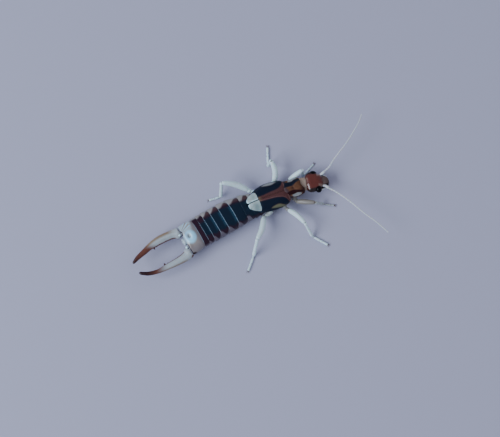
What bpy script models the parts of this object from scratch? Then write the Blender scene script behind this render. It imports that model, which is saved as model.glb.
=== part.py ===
"""A male shore earwig at life size, standing still on its six feet.

The head points along +X, the animal's left is +Y and up is +Z. The floor is z = 0, and the
origin is under the middle of the animal's box. The abdomen bears off to one side of the
thorax and the head turns a little to the right, as in life.
"""

import math

import bmesh
import bpy
from mathutils import Vector

MM = 0.001

# Driving sizes. Places along the body are measured on its midline, forward from a point under the
# rear of the chest, where the wing tips lie.
JOINT_GAP = 0.25 * MM
MIDLINE_START = Vector((-0.33, 2.38, 0.0)) * MM
MIDLINE_STEP = 0.1 * MM
ABDOMEN_HEADING = 6.5
CHEST_HEADING = -3.8
HEAD_HEADING = -12.0
HEAD_ROLL = -7.0

HEAD_REAR = 8.3 * MM
HEAD_CENTRE_Z = 1.62 * MM
NECK_FRONT = HEAD_REAR - JOINT_GAP
PRONOTUM_REAR = 5.3 * MM
PRONOTUM_LENGTH = 2.25 * MM
THORAX_FRONT = PRONOTUM_REAR - JOINT_GAP
THORAX_REAR = 0.75 * MM
ELYTRON_FRONT = THORAX_FRONT
ELYTRON_REAR = 1.1 * MM
ELYTRON_CROWN = 2.92 * MM
ELYTRON_EDGE_Z = 1.9 * MM
WING_FRONT = ELYTRON_REAR - JOINT_GAP
WING_REAR = -0.6 * MM
WING_CROWN = 2.82 * MM
WING_EDGE_Z = 2.36 * MM
PLATE_THICKNESS = 0.5 * MM
ABDOMEN_FRONT = THORAX_REAR - JOINT_GAP
FIRST_TERGITE_REAR = -0.55 * MM
TERGITE_LENGTHS = (1.15, 1.37, 1.46, 1.42, 1.12, 0.93, 0.72)
TERGITE_LIP = 0.09 * MM
TAIL_PLATE_LENGTH = 1.75 * MM
FORCEPS_LENGTH = 7.2 * MM
FORCEPS_ROOT_HEIGHT = 1.62 * MM
TOOTH_SHARE = 0.53
TOOTH_REACH = 0.74 * MM

# Shares of a feeler's length and its radius there in millimetres.
ANTENNA_SEGMENTS = 24
ANTENNA_THICKNESS = ((0.0, 0.34), (0.05, 0.34), (0.07, 0.28), (0.85, 0.25), (1.0, 0.13))

HIP_Z = 1.25 * MM
TARSUS_RADIUS = 0.26 * MM
SOLE_DEPTH = 0.05 * MM
TARSOMERES = ((0.0, 0.46), (0.42, 0.62), (0.58, 1.0))
CLAW_LENGTH = 0.42 * MM
CLAW_RADIUS = 0.09 * MM
CLAW_SPREAD = 0.45
HEEL_SHARE = 0.12

# Places on the head: forward from its rear, out from its midline, up from its middle.
EYE_RADII = (0.46 * MM, 0.40 * MM, 0.40 * MM)
EYE_PLACE = (1.3 * MM, 1.22 * MM, 0.2 * MM)
ANTENNA_SOCKET = (2.01 * MM, 0.8 * MM, 0.06 * MM)
PALP_JOINTS = 4
PALP_ROUTE = ((1.25, 0.6, -0.4), (1.55, 0.82, -0.88), (2.1, 0.98, -0.98), (2.6, 0.88, -0.92),
              (2.95, 0.6, -0.84))

# Each leg in millimetres. The coxa is placed along and across the body, and the joints in plan
# and height. The whole tarsus lies on the floor, from the ankle to the toe.
TROCHANTER_Z = 1.0
ANKLE_Z = 0.34
LEGS = {
    "foreleg_left": {"coxa": (5.9, 0.55), "trochanter": (5.75, 3.52), "knee": (7.98, 3.97, 2.35),
                     "ankle": (7.91, 3.33), "toe": (10.0, 4.24), "thickness": 0.86},
    "foreleg_right": {"coxa": (5.9, -0.55), "trochanter": (5.62, 0.45), "knee": (7.81, -1.03, 2.0),
                      "ankle": (9.13, -1.52), "toe": (10.5, -2.42), "thickness": 0.86},
    "midleg_left": {"coxa": (3.6, 0.75), "trochanter": (3.78, 4.0), "knee": (4.52, 6.69, 2.9),
                    "ankle": (4.05, 6.6), "toe": (5.08, 9.1), "thickness": 0.95},
    "midleg_right": {"coxa": (3.6, -0.75), "trochanter": (3.85, -0.1), "knee": (5.27, -3.27, 2.3),
                     "ankle": (5.63, -5.12), "toe": (7.15, -7.15), "thickness": 0.95},
    "hindleg_left": {"coxa": (1.55, 0.8), "trochanter": (0.35, 4.55), "knee": (-3.11, 6.64, 2.8),
                     "ankle": (-3.87, 5.28), "toe": (-5.6, 5.49), "thickness": 1.1},
    "hindleg_right": {"coxa": (1.55, -0.8), "trochanter": (0.5, -0.2), "knee": (-1.75, -2.65, 2.5),
                      "ankle": (-3.02, -4.3), "toe": (-4.6, -5.95), "thickness": 1.1},
}

# Feeler routes beyond their sockets in plan and height, in millimetres.
ANTENNAE = {
    "antenna_left": ((10.95, 2.5, 2.0), (13.38, 3.68, 2.4), (16.17, 5.27, 2.7), (17.96, 6.55, 2.7),
                     (19.0, 7.64, 2.6)),
    "antenna_right": ((10.75, -0.3, 2.0), (11.68, -2.14, 2.4), (12.95, -4.44, 2.7), (14.45, -7.12, 2.7),
                      (15.4, -9.22, 2.6)),
}

COLOURS = {
    "dark_cuticle": ((0.012, 0.014, 0.022), 0.3),
    "red_cuticle": ((0.16, 0.035, 0.015), 0.25),
    "tan_cuticle": ((0.22, 0.10, 0.045), 0.35),
    "cream_cuticle": ((0.62, 0.60, 0.48), 0.4),
    "pale_cuticle": ((0.60, 0.55, 0.50), 0.3),
    "leg_cuticle": ((0.66, 0.66, 0.56), 0.4),
    "eye": ((0.005, 0.005, 0.007), 0.15),
}


def clear_scene():
    for obj in list(bpy.data.objects):
        bpy.data.objects.remove(obj)


def named_collection(name):
    collection = bpy.data.collections.new(name)
    bpy.context.scene.collection.children.link(collection)
    return collection


def make_materials():
    made = {}
    for name, (colour, roughness) in COLOURS.items():
        material = bpy.data.materials.new(name)
        material.use_nodes = True
        shader = material.node_tree.nodes["Principled BSDF"]
        shader.inputs["Base Color"].default_value = (*colour, 1.0)
        shader.inputs["Roughness"].default_value = roughness
        shader.inputs["Metallic"].default_value = 0.0
        made[name] = material
    return made


def smooth(table, place):
    """The value at `place` on a smooth curve through the table's (place, value) pairs."""
    if place <= table[0][0]:
        return table[0][1]
    if place >= table[-1][0]:
        return table[-1][1]
    i = max(k for k in range(len(table) - 1) if table[k][0] <= place)

    def slope(k):
        before, after = table[max(k - 1, 0)], table[min(k + 1, len(table) - 1)]
        return (after[1] - before[1]) / (after[0] - before[0])

    (x0, y0), (x1, y1) = table[i], table[i + 1]
    span = x1 - x0
    t = (place - x0) / span
    return (
        y0 * (1 + 2 * t) * (1 - t) ** 2
        + slope(i) * span * t * (1 - t) ** 2
        + y1 * t * t * (3 - 2 * t)
        + slope(i + 1) * span * t * t * (t - 1)
    )


def millimetres(*pairs):
    """A table of (place, value) pairs given in millimetres, in metres and in rising order."""
    return sorted((place * MM, value * MM) for place, value in pairs)


# Where along the body each heading holds. It changes smoothly between these places.
HEADINGS = [(place * MM, heading) for place, heading in (
    (-9.0, ABDOMEN_HEADING), (-3.2, ABDOMEN_HEADING), (-0.4, 1.0), (2.2, CHEST_HEADING),
    (7.4, CHEST_HEADING), (8.1, HEAD_HEADING), (11.5, HEAD_HEADING))]


def midline(place):
    """The body's midline at `place`: its point on the floor and its heading in radians."""
    point = MIDLINE_START.copy()
    steps = max(1, round(abs(place) / MIDLINE_STEP))
    step = place / steps
    for k in range(steps):
        heading = math.radians(smooth(HEADINGS, (k + 0.5) * step))
        point += Vector((math.cos(heading), math.sin(heading), 0.0)) * step
    return point, math.radians(smooth(HEADINGS, place))


def on_body(place, across=0.0, height=0.0):
    """A point given along the midline, to the left of it and above the floor."""
    point, heading = midline(place)
    return point + Vector((-math.sin(heading) * across, math.cos(heading) * across, height))


class Ring:
    """One cross-section of a loft: an oval with its own width, top and bottom."""

    def __init__(self, centre, left, up, half_width, top, bottom, roundness=1.0):
        self.centre, self.left, self.up = centre, left, up
        self.half_width, self.top, self.bottom, self.roundness = half_width, top, bottom, roundness

    def point(self, angle):
        def eased(value):
            return math.copysign(abs(value) ** self.roundness, value)

        height = self.top if math.sin(angle) > 0 else self.bottom
        return (
            self.centre
            + self.left * self.half_width * eased(math.cos(angle))
            + self.up * height * eased(math.sin(angle))
        )


def body_ring(place, half_width, top, side, bottom, roundness=0.85):
    """A ring square to the midline. top, side and bottom are heights above the floor."""
    point, heading = midline(place)
    left = Vector((-math.sin(heading), math.cos(heading), 0.0))
    centre = point + Vector((0.0, 0.0, side))
    return Ring(centre, left, Vector((0, 0, 1)), half_width, top - side, side - bottom, roundness)


def path_rings(points, sizes):
    """Rings along a path. sizes holds (half width, half height) for each point."""
    rings = []
    for k, point in enumerate(points):
        ahead = points[min(k + 1, len(points) - 1)] - points[max(k - 1, 0)]
        left = Vector((0, 0, 1)).cross(ahead)
        if left.length < 0.05 * ahead.length:
            left = Vector((0, 1, 0))
        left.normalize()
        up = ahead.cross(left).normalized()
        rings.append(Ring(point, left, up, sizes[k][0], sizes[k][1], sizes[k][1]))
    return rings


def object_of(name, bm, collection):
    if bm.calc_volume(signed=True) < 0:
        bmesh.ops.reverse_faces(bm, faces=bm.faces)
    mesh = bpy.data.meshes.new(name)
    bm.to_mesh(mesh)
    bm.free()
    obj = bpy.data.objects.new(name, mesh)
    collection.objects.link(obj)
    return obj


def loft(name, rings, sides, collection):
    """A closed solid through the rings, made from a sphere whose parallels take their places."""
    bm = bmesh.new()
    bands = len(rings) + 1
    bmesh.ops.create_uvsphere(bm, u_segments=sides, v_segments=bands, radius=1.0)
    for vert in bm.verts:
        parallel = round(math.acos(max(-1.0, min(1.0, vert.co.z))) / math.pi * bands)
        if parallel in (0, bands):
            vert.co = rings[0 if parallel == 0 else -1].centre
        else:
            vert.co = rings[parallel - 1].point(math.atan2(vert.co.y, vert.co.x))
    return object_of(name, bm, collection)


def grown(rings, margin):
    """The same rings with room round them, for cutting what meets this piece."""
    bigger = []
    for ring in rings:
        sizes = (ring.half_width + margin, ring.top + margin, ring.bottom + margin)
        bigger.append(Ring(ring.centre, ring.left, ring.up, *sizes, ring.roundness))
    for end, inner in ((0, 1), (-1, -2)):
        outward = (rings[end].centre - rings[inner].centre).normalized()
        bigger[end].centre = rings[end].centre + outward * margin
    return bigger


def closed_surfaces(bm):
    """The vertices of each surface in the mesh that isn't joined to the others."""
    seen, surfaces = set(), []
    for first in bm.verts:
        if first in seen:
            continue
        surface, waiting = [first], [first]
        seen.add(first)
        while waiting:
            for edge in waiting.pop().link_edges:
                for vert in edge.verts:
                    if vert not in seen:
                        seen.add(vert)
                        surface.append(vert)
                        waiting.append(vert)
        surfaces.append(surface)
    return surfaces


def extent(surface):
    """The sides of the surface's box, added up."""
    return sum(max(vert.co[i] for vert in surface) - min(vert.co[i] for vert in surface) for i in range(3))


def apply_modifiers(obj):
    """Applies the object's modifiers and keeps only its largest closed surface."""
    graph = bpy.context.evaluated_depsgraph_get()
    mesh = bpy.data.meshes.new_from_object(obj.evaluated_get(graph))
    obj.modifiers.clear()
    old, obj.data = obj.data, mesh
    bpy.data.meshes.remove(old)
    bm = bmesh.new()
    bm.from_mesh(mesh)
    surfaces = sorted(closed_surfaces(bm), key=extent)
    loose = [vert for surface in surfaces[:-1] for vert in surface]
    bmesh.ops.delete(bm, geom=loose, context="VERTS")
    bm.to_mesh(mesh)
    bm.free()


def boolean(obj, others, operation):
    """Joins the others to the object, or cuts them from it, and removes them."""
    group = bpy.data.collections.new("pieces")
    for other in others:
        for home in list(other.users_collection):
            home.objects.unlink(other)
        group.objects.link(other)
    bpy.context.scene.collection.children.link(group)
    modifier = obj.modifiers.new(operation.lower(), "BOOLEAN")
    modifier.operation = operation
    modifier.operand_type = "COLLECTION"
    modifier.collection = group
    modifier.solver = "EXACT"
    bpy.context.view_layer.update()
    apply_modifiers(obj)
    for other in list(group.objects):
        bpy.data.objects.remove(other)
    bpy.data.collections.remove(group)
    return obj


def limb(name, start, end, profile, sides, collection, overlap=0.12 * MM):
    """A straight round limb, a little longer than its ends. profile holds (share of length, radius)."""
    ahead = (end - start).normalized() * overlap
    points = [(start - ahead).lerp(end + ahead, share) for share, _ in profile]
    return loft(name, path_rings(points, [(radius, radius) for _, radius in profile]), sides, collection)


def blob(name, centre, ahead, radii, sides, collection):
    """An egg shape along ahead, to sink into the piece that carries it."""
    length, width, height = radii
    angles = [math.pi * share for share in (0.08, 0.25, 0.5, 0.75, 0.92)]
    points = [centre - ahead * length * math.cos(angle) for angle in angles]
    sizes = [(width * math.sin(angle), height * math.sin(angle)) for angle in angles]
    return loft(name, path_rings(points, sizes), sides, collection)


def on_route(route, share):
    """A point part of the way along a smooth route through the given points."""
    place = share * (len(route) - 1)
    return Vector([smooth([(k, point[i]) for k, point in enumerate(route)], place) for i in range(3)])


# Along the head: half width, top and bottom, in millimetres.
HEAD_STATIONS = (
    (0.0, 0.66, 0.42, 0.4), (0.05, 0.94, 0.52, 0.48), (0.28, 1.2, 0.66, 0.58), (0.75, 1.37, 0.76, 0.64),
    (1.25, 1.42, 0.77, 0.66), (1.65, 1.28, 0.68, 0.62), (1.95, 0.98, 0.54, 0.58), (2.15, 0.74, 0.44, 0.54),
    (2.22, 0.68, 0.38, 0.52), (2.45, 0.66, 0.33, 0.48), (2.5, 0.6, 0.28, 0.46), (2.85, 0.54, 0.18, 0.36),
    (3.05, 0.3, 0.06, 0.2),
)


def head_axes():
    """The head's forward, left and up directions, with its roll."""
    heading, roll = midline(HEAD_REAR)[1], math.radians(HEAD_ROLL)
    ahead = Vector((math.cos(heading), math.sin(heading), 0.0))
    level = Vector((-math.sin(heading), math.cos(heading), 0.0))
    left = level * math.cos(roll) + Vector((0, 0, math.sin(roll)))
    return ahead, left, ahead.cross(left)


def on_head(along, across, above):
    ahead, left, up = head_axes()
    rear = on_body(HEAD_REAR, 0.0, HEAD_CENTRE_Z)
    return rear + ahead * along + left * across + up * above


def head_rings():
    _, left, up = head_axes()
    return [
        Ring(on_head(along * MM, 0, 0), left, up, half_width * MM, top * MM, bottom * MM, 0.9)
        for along, half_width, top, bottom in HEAD_STATIONS
    ]


def eye_rings(side, margin=0.0, bands=7):
    """An oval eye as rings from its rear to its front, or the room round it."""
    _, left, up = head_axes()
    along, across, above = EYE_PLACE
    length, width, height = (radius + margin for radius in EYE_RADII)
    rings = []
    for k in range(bands):
        angle = math.pi * (0.04 + 0.92 * k / (bands - 1))
        centre = on_head(along - length * math.cos(angle), side * across, above)
        size = math.sin(angle)
        rings.append(Ring(centre, left, up, width * size, height * size, height * size))
    return rings


def make_mandible(side, collection):
    """A stout jaw under the upper lip, its tip turned in to meet the other's."""
    places = ((1.6, 0.66, -0.34), (2.2, 0.62, -0.36), (2.7, 0.44, -0.36), (3.0, 0.16, -0.34))
    points = [on_head(along * MM, side * across * MM, above * MM) for along, across, above in places]
    sizes = [(radius * MM, 0.8 * radius * MM) for radius in (0.28, 0.3, 0.24, 0.12)]
    return loft("mandible", path_rings(points, sizes), 10, collection)


def make_antenna_socket(side, collection):
    """The raised ring that a feeler grows from."""
    along, across, above = ANTENNA_SOCKET
    inner = on_head(along - 0.56 * MM, side * 0.5 * across, above - 0.1 * MM)
    outer = on_head(along, side * across, above)
    profile = ((0.0, 0.3 * MM), (0.6, 0.38 * MM), (0.92, 0.4 * MM), (1.0, 0.34 * MM))
    return limb("socket", inner, outer, profile, 12, collection, 0.0)


def make_head(collection):
    head = loft("head", head_rings(), 24, collection)
    sides = (1, -1)
    pieces = [make_mandible(side, collection) for side in sides]
    pieces += [make_antenna_socket(side, collection) for side in sides]
    boolean(head, pieces, "UNION")
    sockets = [loft("socket", eye_rings(side, JOINT_GAP), 14, collection) for side in sides]
    boolean(head, sockets, "DIFFERENCE")
    for side, word in ((1, "left"), (-1, "right")):
        loft(f"eye_{word}", eye_rings(side), 14, collection)
    return head


def make_palp(side, word, collection):
    """The jointed palp under the cheek."""
    route = [on_head(along * MM, side * across * MM, above * MM) for along, across, above in PALP_ROUTE]
    shares = [k / (3 * PALP_JOINTS) for k in range(3 * PALP_JOINTS + 1)]
    radii = [(0.27 if k % 3 else 0.24) * MM * (1.0 - 0.2 * share) for k, share in enumerate(shares)]
    places = [on_route(route, share) for share in shares]
    return loft(f"palp_{word}", path_rings(places, [(radius, radius) for radius in radii]), 8, collection)


def make_antenna(side, name, collection):
    """A feeler: a long first segment at the socket, then a row of small ones."""
    along, across, above = ANTENNA_SOCKET
    socket = on_head(along, side * across, above)
    route = [Vector(point) * MM for point in ANTENNAE[name]]
    outward = (route[0] - socket).normalized()
    route.insert(0, socket + outward * JOINT_GAP)
    places, radii = [], []
    for k in range(ANTENNA_SEGMENTS):
        for within, waist in ((0.08, 0.86), (0.85, 1.0)):
            share = (k + within) / ANTENNA_SEGMENTS
            places.append(on_route(route, share))
            radii.append(smooth(ANTENNA_THICKNESS, share) * MM * waist)
    return loft(name, path_rings(places, [(radius, radius) for radius in radii]), 8, collection)


# Along the pronotum as a share of its length: half width and top in millimetres.
PRONOTUM_STATIONS = (
    (0.0, 1.08, 2.56), (0.06, 1.28, 2.64), (0.25, 1.35, 2.68), (0.48, 1.35, 2.7), (0.7, 1.28, 2.66),
    (0.88, 1.17, 2.54), (0.97, 1.06, 2.4), (1.0, 0.92, 2.28),
)
PRONOTUM_EDGE_Z = 1.95 * MM
PRONOTUM_BOTTOM_Z = 0.85 * MM


def prothorax_rings():
    """The first thorax segment under its shield, and the neck in front of it."""
    rings = []
    for share, half_width, top in PRONOTUM_STATIONS:
        place = PRONOTUM_REAR + share * PRONOTUM_LENGTH
        rings.append(body_ring(place, half_width * MM, top * MM, PRONOTUM_EDGE_Z, PRONOTUM_BOTTOM_Z, 0.8))
    front = PRONOTUM_REAR + PRONOTUM_LENGTH
    for share, half_width in ((0.02, 0.62), (0.7, 0.6), (1.0, 0.56)):
        place = front + share * (NECK_FRONT - front)
        rings.append(body_ring(place, half_width * MM, 2.1 * MM, 1.6 * MM, 1.15 * MM, 1.0))
    return rings


# Along the two hind thorax segments as a share of their length: half width and bottom in
# millimetres. The groove at 0.45 parts their breastplates.
THORAX_STATIONS = (
    (0.0, 1.2, 0.85), (0.04, 1.28, 0.72), (0.2, 1.33, 0.66), (0.4, 1.34, 0.7), (0.45, 1.34, 0.82),
    (0.49, 1.34, 0.72), (0.66, 1.3, 0.68), (0.9, 1.2, 0.76), (1.0, 1.06, 0.9),
)


def thorax_rings():
    rings = []
    for share, half_width, bottom in THORAX_STATIONS:
        place = THORAX_REAR + share * (THORAX_FRONT - THORAX_REAR)
        rings.append(body_ring(place, half_width * MM, 2.14 * MM, 1.45 * MM, bottom * MM, 0.8))
    return rings


ABDOMEN_WIDTHS = millimetres((0.5, 1.5), (0.1, 1.68), (-0.6, 1.86), (-1.7, 1.98), (-3.0, 2.1), (-5.0, 2.2),
                             (-7.0, 2.22), (-8.8, 2.17), (-10.5, 2.2))
ABDOMEN_TOPS = millimetres((0.5, 2.02), (-0.6, 2.1), (-1.6, 2.42), (-3.0, 2.6), (-5.0, 2.7), (-7.0, 2.64),
                           (-8.8, 2.55), (-9.6, 2.5), (-10.5, 2.3))
ABDOMEN_SIDES = millimetres((0.5, 1.35), (-2.0, 1.5), (-5.0, 1.6), (-10.5, 1.65))
ABDOMEN_BOTTOMS = millimetres((0.5, 0.75), (-2.0, 0.6), (-5.0, 0.55), (-8.0, 0.65), (-10.5, 0.95))


def abdomen_ring(place, lip=0.0):
    """A ring of the abdomen, raised by lip on its back and sides and by less below."""
    return body_ring(place, smooth(ABDOMEN_WIDTHS, place) + lip, smooth(ABDOMEN_TOPS, place) + lip,
                     smooth(ABDOMEN_SIDES, place), smooth(ABDOMEN_BOTTOMS, place) - 0.7 * lip)


def tergite_ends():
    """Where each ring of the abdomen ends, from the one under the wings back."""
    ends = [FIRST_TERGITE_REAR]
    for length in TERGITE_LENGTHS:
        ends.append(ends[-1] - length * MM)
    return ends


def tail_plate_rear():
    return tergite_ends()[-1] - JOINT_GAP - TAIL_PLATE_LENGTH


def abdomen_rings():
    """Each tergite widens backwards to a lip that lies over the next."""
    rings = [abdomen_ring(ABDOMEN_FRONT, -0.15 * MM), abdomen_ring(ABDOMEN_FRONT - 0.08 * MM)]
    front = ABDOMEN_FRONT - 0.2 * MM
    for rear in tergite_ends():
        for share, lip in ((0.08, -0.3), (0.5, 0.3), (0.98, 1.0)):
            rings.append(abdomen_ring(front + (rear - front) * share, lip * TERGITE_LIP))
        front = rear
    rings.append(abdomen_ring(front - 0.02 * MM, -0.4 * MM))
    return rings


def tail_plate_rings():
    """The last tergite: smooth, with its rear face square to the midline."""
    front = tail_plate_rear() + TAIL_PLATE_LENGTH
    profile = ((0.0, -0.12), (0.03, 0.0), (0.35, 0.03), (0.7, 0.03), (0.94, 0.0), (1.0, -0.12))
    return [abdomen_ring(front - share * TAIL_PLATE_LENGTH, margin * MM) for share, margin in profile]


def make_tail_plate(collection):
    """The last tergite, with a hump over each arm of the forceps and a short plate between them."""
    plate = loft("tail_plate", tail_plate_rings(), 24, collection)
    rear = tail_plate_rear()
    backwards = (on_body(rear - MM) - on_body(rear)).normalized()
    pieces = []
    for side in (1, -1):
        hump = on_body(rear + 0.4 * MM, side * 1.0 * MM, 2.0 * MM)
        pieces.append(blob("hump", hump, backwards, (0.65 * MM, 0.6 * MM, 0.5 * MM), 12, collection))
    middle = on_body(rear + 0.1 * MM, 0.0, FORCEPS_ROOT_HEIGHT)
    pieces.append(blob("pygidium", middle, backwards, (0.6 * MM, 0.46 * MM, 0.34 * MM), 12, collection))
    return boolean(plate, pieces, "UNION")


# Along an arm of the forceps as a share of its length: out from the midline, above its root, and
# its half width, in millimetres.
FORCEPS_STATIONS = (
    (0.0, 1.38, 0.0), (0.14, 1.58, 0.04), (0.35, 1.95, 0.12), (0.6, 1.88, 0.22), (0.82, 1.42, 0.3),
    (1.0, 0.72, 0.28),
)
FORCEPS_WIDTHS = (
    (0.0, 0.62), (0.03, 0.74), (0.12, 0.66), (0.3, 0.55), (0.5, 0.48), (0.7, 0.39), (0.88, 0.3), (1.0, 0.08),
)
FORCEPS_RINGS = (0.0, 0.03, 0.08, 0.16, 0.26, 0.38, 0.5, 0.62, 0.74, 0.84, 0.93, 1.0)
FORCEPS_FLATTENING = 0.88
LEFT_ARM_LONGER = 1.03


def make_forceps(side, word, collection):
    """An arm that bows out, then in, and lifts a little, with a tooth on its inner edge."""
    root = tail_plate_rear() - JOINT_GAP
    length = FORCEPS_LENGTH * (LEFT_ARM_LONGER if side > 0 else 1.0)
    across = [(share, out) for share, out, _ in FORCEPS_STATIONS]
    lift = [(share, up) for share, _, up in FORCEPS_STATIONS]

    def centre(share):
        height = FORCEPS_ROOT_HEIGHT + smooth(lift, share) * MM
        return on_body(root - share * length, side * smooth(across, share) * MM, height)

    radii = [smooth(FORCEPS_WIDTHS, share) * MM for share in FORCEPS_RINGS]
    sizes = [(radius, FORCEPS_FLATTENING * radius) for radius in radii]
    rings = path_rings([centre(share) for share in FORCEPS_RINGS], sizes)
    arm = loft(f"forceps_{word}", rings, 12, collection)
    inward = (on_body(root) - on_body(root, side * MM)).normalized()
    base = centre(TOOTH_SHARE)
    profile = ((0.0, 0.22 * MM), (0.6, 0.17 * MM), (1.0, 0.04 * MM))
    tooth = limb("tooth", base, base + inward * TOOTH_REACH, profile, 8, collection, 0.0)
    return boolean(arm, [tooth], "UNION")


def make_plate(name, side, stations, edge_z, collection):
    """A curved plate over one half of the back. stations holds (place, half width, crown)."""
    bm = bmesh.new()
    rows = len(stations) - 1
    bmesh.ops.create_grid(bm, x_segments=rows, y_segments=7, size=1.0)
    for vert in bm.verts:
        place, half_width, crown = stations[round((vert.co.x + 1) / 2 * rows)]
        quarter_turn = (vert.co.y + 1) / 2 * math.pi / 2
        across = half_width * max(math.sin(quarter_turn), 0.0) ** 0.85 + 0.5 * JOINT_GAP
        fall = max(1 - math.cos(quarter_turn), 0.0) ** 0.9
        vert.co = on_body(place, side * across, crown - (crown - edge_z) * fall)
    plate = object_of(name, bm, collection)
    if sum(polygon.normal.z for polygon in plate.data.polygons) < 0:
        plate.data.flip_normals()
    shell = plate.modifiers.new("thickness", "SOLIDIFY")
    shell.thickness = PLATE_THICKNESS
    shell.offset = -1.0
    return plate


def spread(rear, front, crown, outline):
    """Stations from an outline of (share of length, half width, rise) with sizes in millimetres."""
    length = front - rear
    return [(rear + share * length, width * MM, crown + rise * MM) for share, width, rise in outline]


def make_elytron(side, word, collection):
    outline = ((0.0, 1.6, -0.04), (0.06, 1.72, 0.0), (0.3, 1.92, 0.0), (0.6, 1.86, 0.0), (0.85, 1.66, -0.04),
               (1.0, 1.35, -0.16))
    stations = spread(ELYTRON_REAR, ELYTRON_FRONT, ELYTRON_CROWN, outline)
    return make_plate(f"elytron_{word}", side, stations, ELYTRON_EDGE_Z, collection)


def make_wing(side, word, collection):
    outline = ((0.0, 0.95, -0.08), (0.25, 1.22, -0.02), (0.6, 1.38, 0.0), (1.0, 1.42, 0.0))
    stations = spread(WING_REAR, WING_FRONT, WING_CROWN, outline)
    return make_plate(f"wing_{word}", side, stations, WING_EDGE_Z, collection)


def make_claws(toe, ahead, collection):
    """Two claws that spread from the toe and end just above the floor."""
    claws = []
    profile = ((0.0, CLAW_RADIUS), (0.6, CLAW_RADIUS), (1.0, CLAW_RADIUS / 3))
    for turn in (1, -1):
        out = Vector((-ahead.y, ahead.x, 0.0)) * turn * CLAW_SPREAD
        tip = toe + (ahead + out).normalized() * CLAW_LENGTH
        tip.z = 0.6 * CLAW_RADIUS
        claws.append(limb("claw", toe - ahead * CLAW_RADIUS, tip, profile, 6, collection, 0.0))
    return claws


def make_tarsus(ankle, toe, collection):
    """Three short segments flat on the floor, with claws on the last."""
    heel = ankle.lerp(toe, HEEL_SHARE)
    heel.z = toe.z
    even = ((0.0, TARSUS_RADIUS), (1.0, TARSUS_RADIUS))
    pieces = [limb("heel", ankle, heel, even, 10, collection, 0.06 * MM)]
    waist = ((0.0, 0.6), (0.1, 0.92), (0.9, 1.0), (1.0, 0.7))
    waisted = [(share, size * TARSUS_RADIUS) for share, size in waist]
    for first, last in TARSOMERES:
        start, end = heel.lerp(toe, first), heel.lerp(toe, last)
        pieces.append(limb("tarsomere", start, end, waisted, 10, collection, 0.1 * MM))
    return pieces + make_claws(toe, (toe - heel).normalized(), collection)


def make_leg(name, collection, root_rings):
    """A leg from its coxa to its claws, cut clear of the body it grows from."""
    pose = LEGS[name]
    along, across = pose["coxa"]
    hip = on_body(along * MM, across * MM, HIP_Z)
    trochanter = Vector((*pose["trochanter"], TROCHANTER_Z)) * MM
    knee = Vector(pose["knee"]) * MM
    ankle = Vector((*pose["ankle"], ANKLE_Z)) * MM
    toe = Vector((*pose["toe"], 0.0)) * MM + Vector((0.0, 0.0, TARSUS_RADIUS - SOLE_DEPTH))

    def sized(*profile):
        return [(share, radius * MM * pose["thickness"]) for share, radius in profile]

    femur = sized((0.0, 0.12), (0.03, 0.28), (0.3, 0.4), (0.7, 0.36), (0.93, 0.28), (0.99, 0.22), (1.0, 0.1))
    basal = sized((0.0, 0.5), (0.55, 0.48), (0.78, 0.36), (0.84, 0.3), (0.92, 0.33), (0.98, 0.26), (1.0, 0.12))
    shank = sized((0.0, 0.12), (0.03, 0.24), (0.1, 0.28), (0.6, 0.29), (0.95, 0.29), (1.0, 0.2))
    leg = limb(name, trochanter, knee, femur, 12, collection)
    pieces = make_tarsus(ankle, toe, collection)
    pieces.append(limb("coxa", hip, trochanter, basal, 12, collection))
    pieces.append(limb("tibia", knee, ankle, shank, 10, collection))
    boolean(leg, pieces, "UNION")
    boolean(leg, [loft("room", grown(root_rings, JOINT_GAP), 20, collection)], "DIFFERENCE")
    lay_on_floor(leg)
    return leg


def lay_on_floor(obj):
    """Presses whatever would dip under the floor flat against it."""
    for vert in obj.data.vertices:
        vert.co.z = max(vert.co.z, 0.0)


def finish(obj, material, smooth_angle=math.radians(40)):
    obj.data.materials.clear()
    obj.data.materials.append(material)
    obj.data.shade_smooth()
    obj.data.set_sharp_from_angle(angle=smooth_angle)


def main():
    clear_scene()
    body = named_collection("shore_earwig")
    materials = make_materials()
    make_head(body)
    for side, word in ((1, "left"), (-1, "right")):
        make_antenna(side, f"antenna_{word}", body)
        palp = make_palp(side, word, body)
        boolean(palp, [loft("room", grown(head_rings(), JOINT_GAP), 24, body)], "DIFFERENCE")
    loft("prothorax", prothorax_rings(), 24, body)
    loft("thorax", thorax_rings(), 20, body)
    loft("abdomen", abdomen_rings(), 24, body)
    make_tail_plate(body)
    for side, word in ((1, "left"), (-1, "right")):
        make_elytron(side, word, body)
        make_wing(side, word, body)
        make_forceps(side, word, body)
    for name in LEGS:
        root = prothorax_rings() if name.startswith("fore") else thorax_rings()
        make_leg(name, body, root)
    looks = {
        "head": "red_cuticle", "eye": "eye", "antenna": "leg_cuticle", "palp": "leg_cuticle",
        "prothorax": "tan_cuticle", "thorax": "cream_cuticle", "abdomen": "dark_cuticle",
        "tail_plate": "pale_cuticle", "elytron": "dark_cuticle", "wing": "cream_cuticle",
        "forceps": "pale_cuticle", "foreleg": "leg_cuticle", "midleg": "leg_cuticle", "hindleg": "leg_cuticle",
    }
    for obj in body.objects:
        kind = next(word for word in looks if obj.name.startswith(word))
        finish(obj, materials[looks[kind]])


main()
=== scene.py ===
"""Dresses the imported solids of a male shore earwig: skin, plates, wing cases, head, feelers, legs
and forceps, with their materials, on a plain studio floor.

Shapes are drawn in millimetres, along the same midline as the solids, and scaled when a piece is
finished. Places on the body are given forward along that midline, out to the animal's left and up
from the floor.
"""

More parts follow.
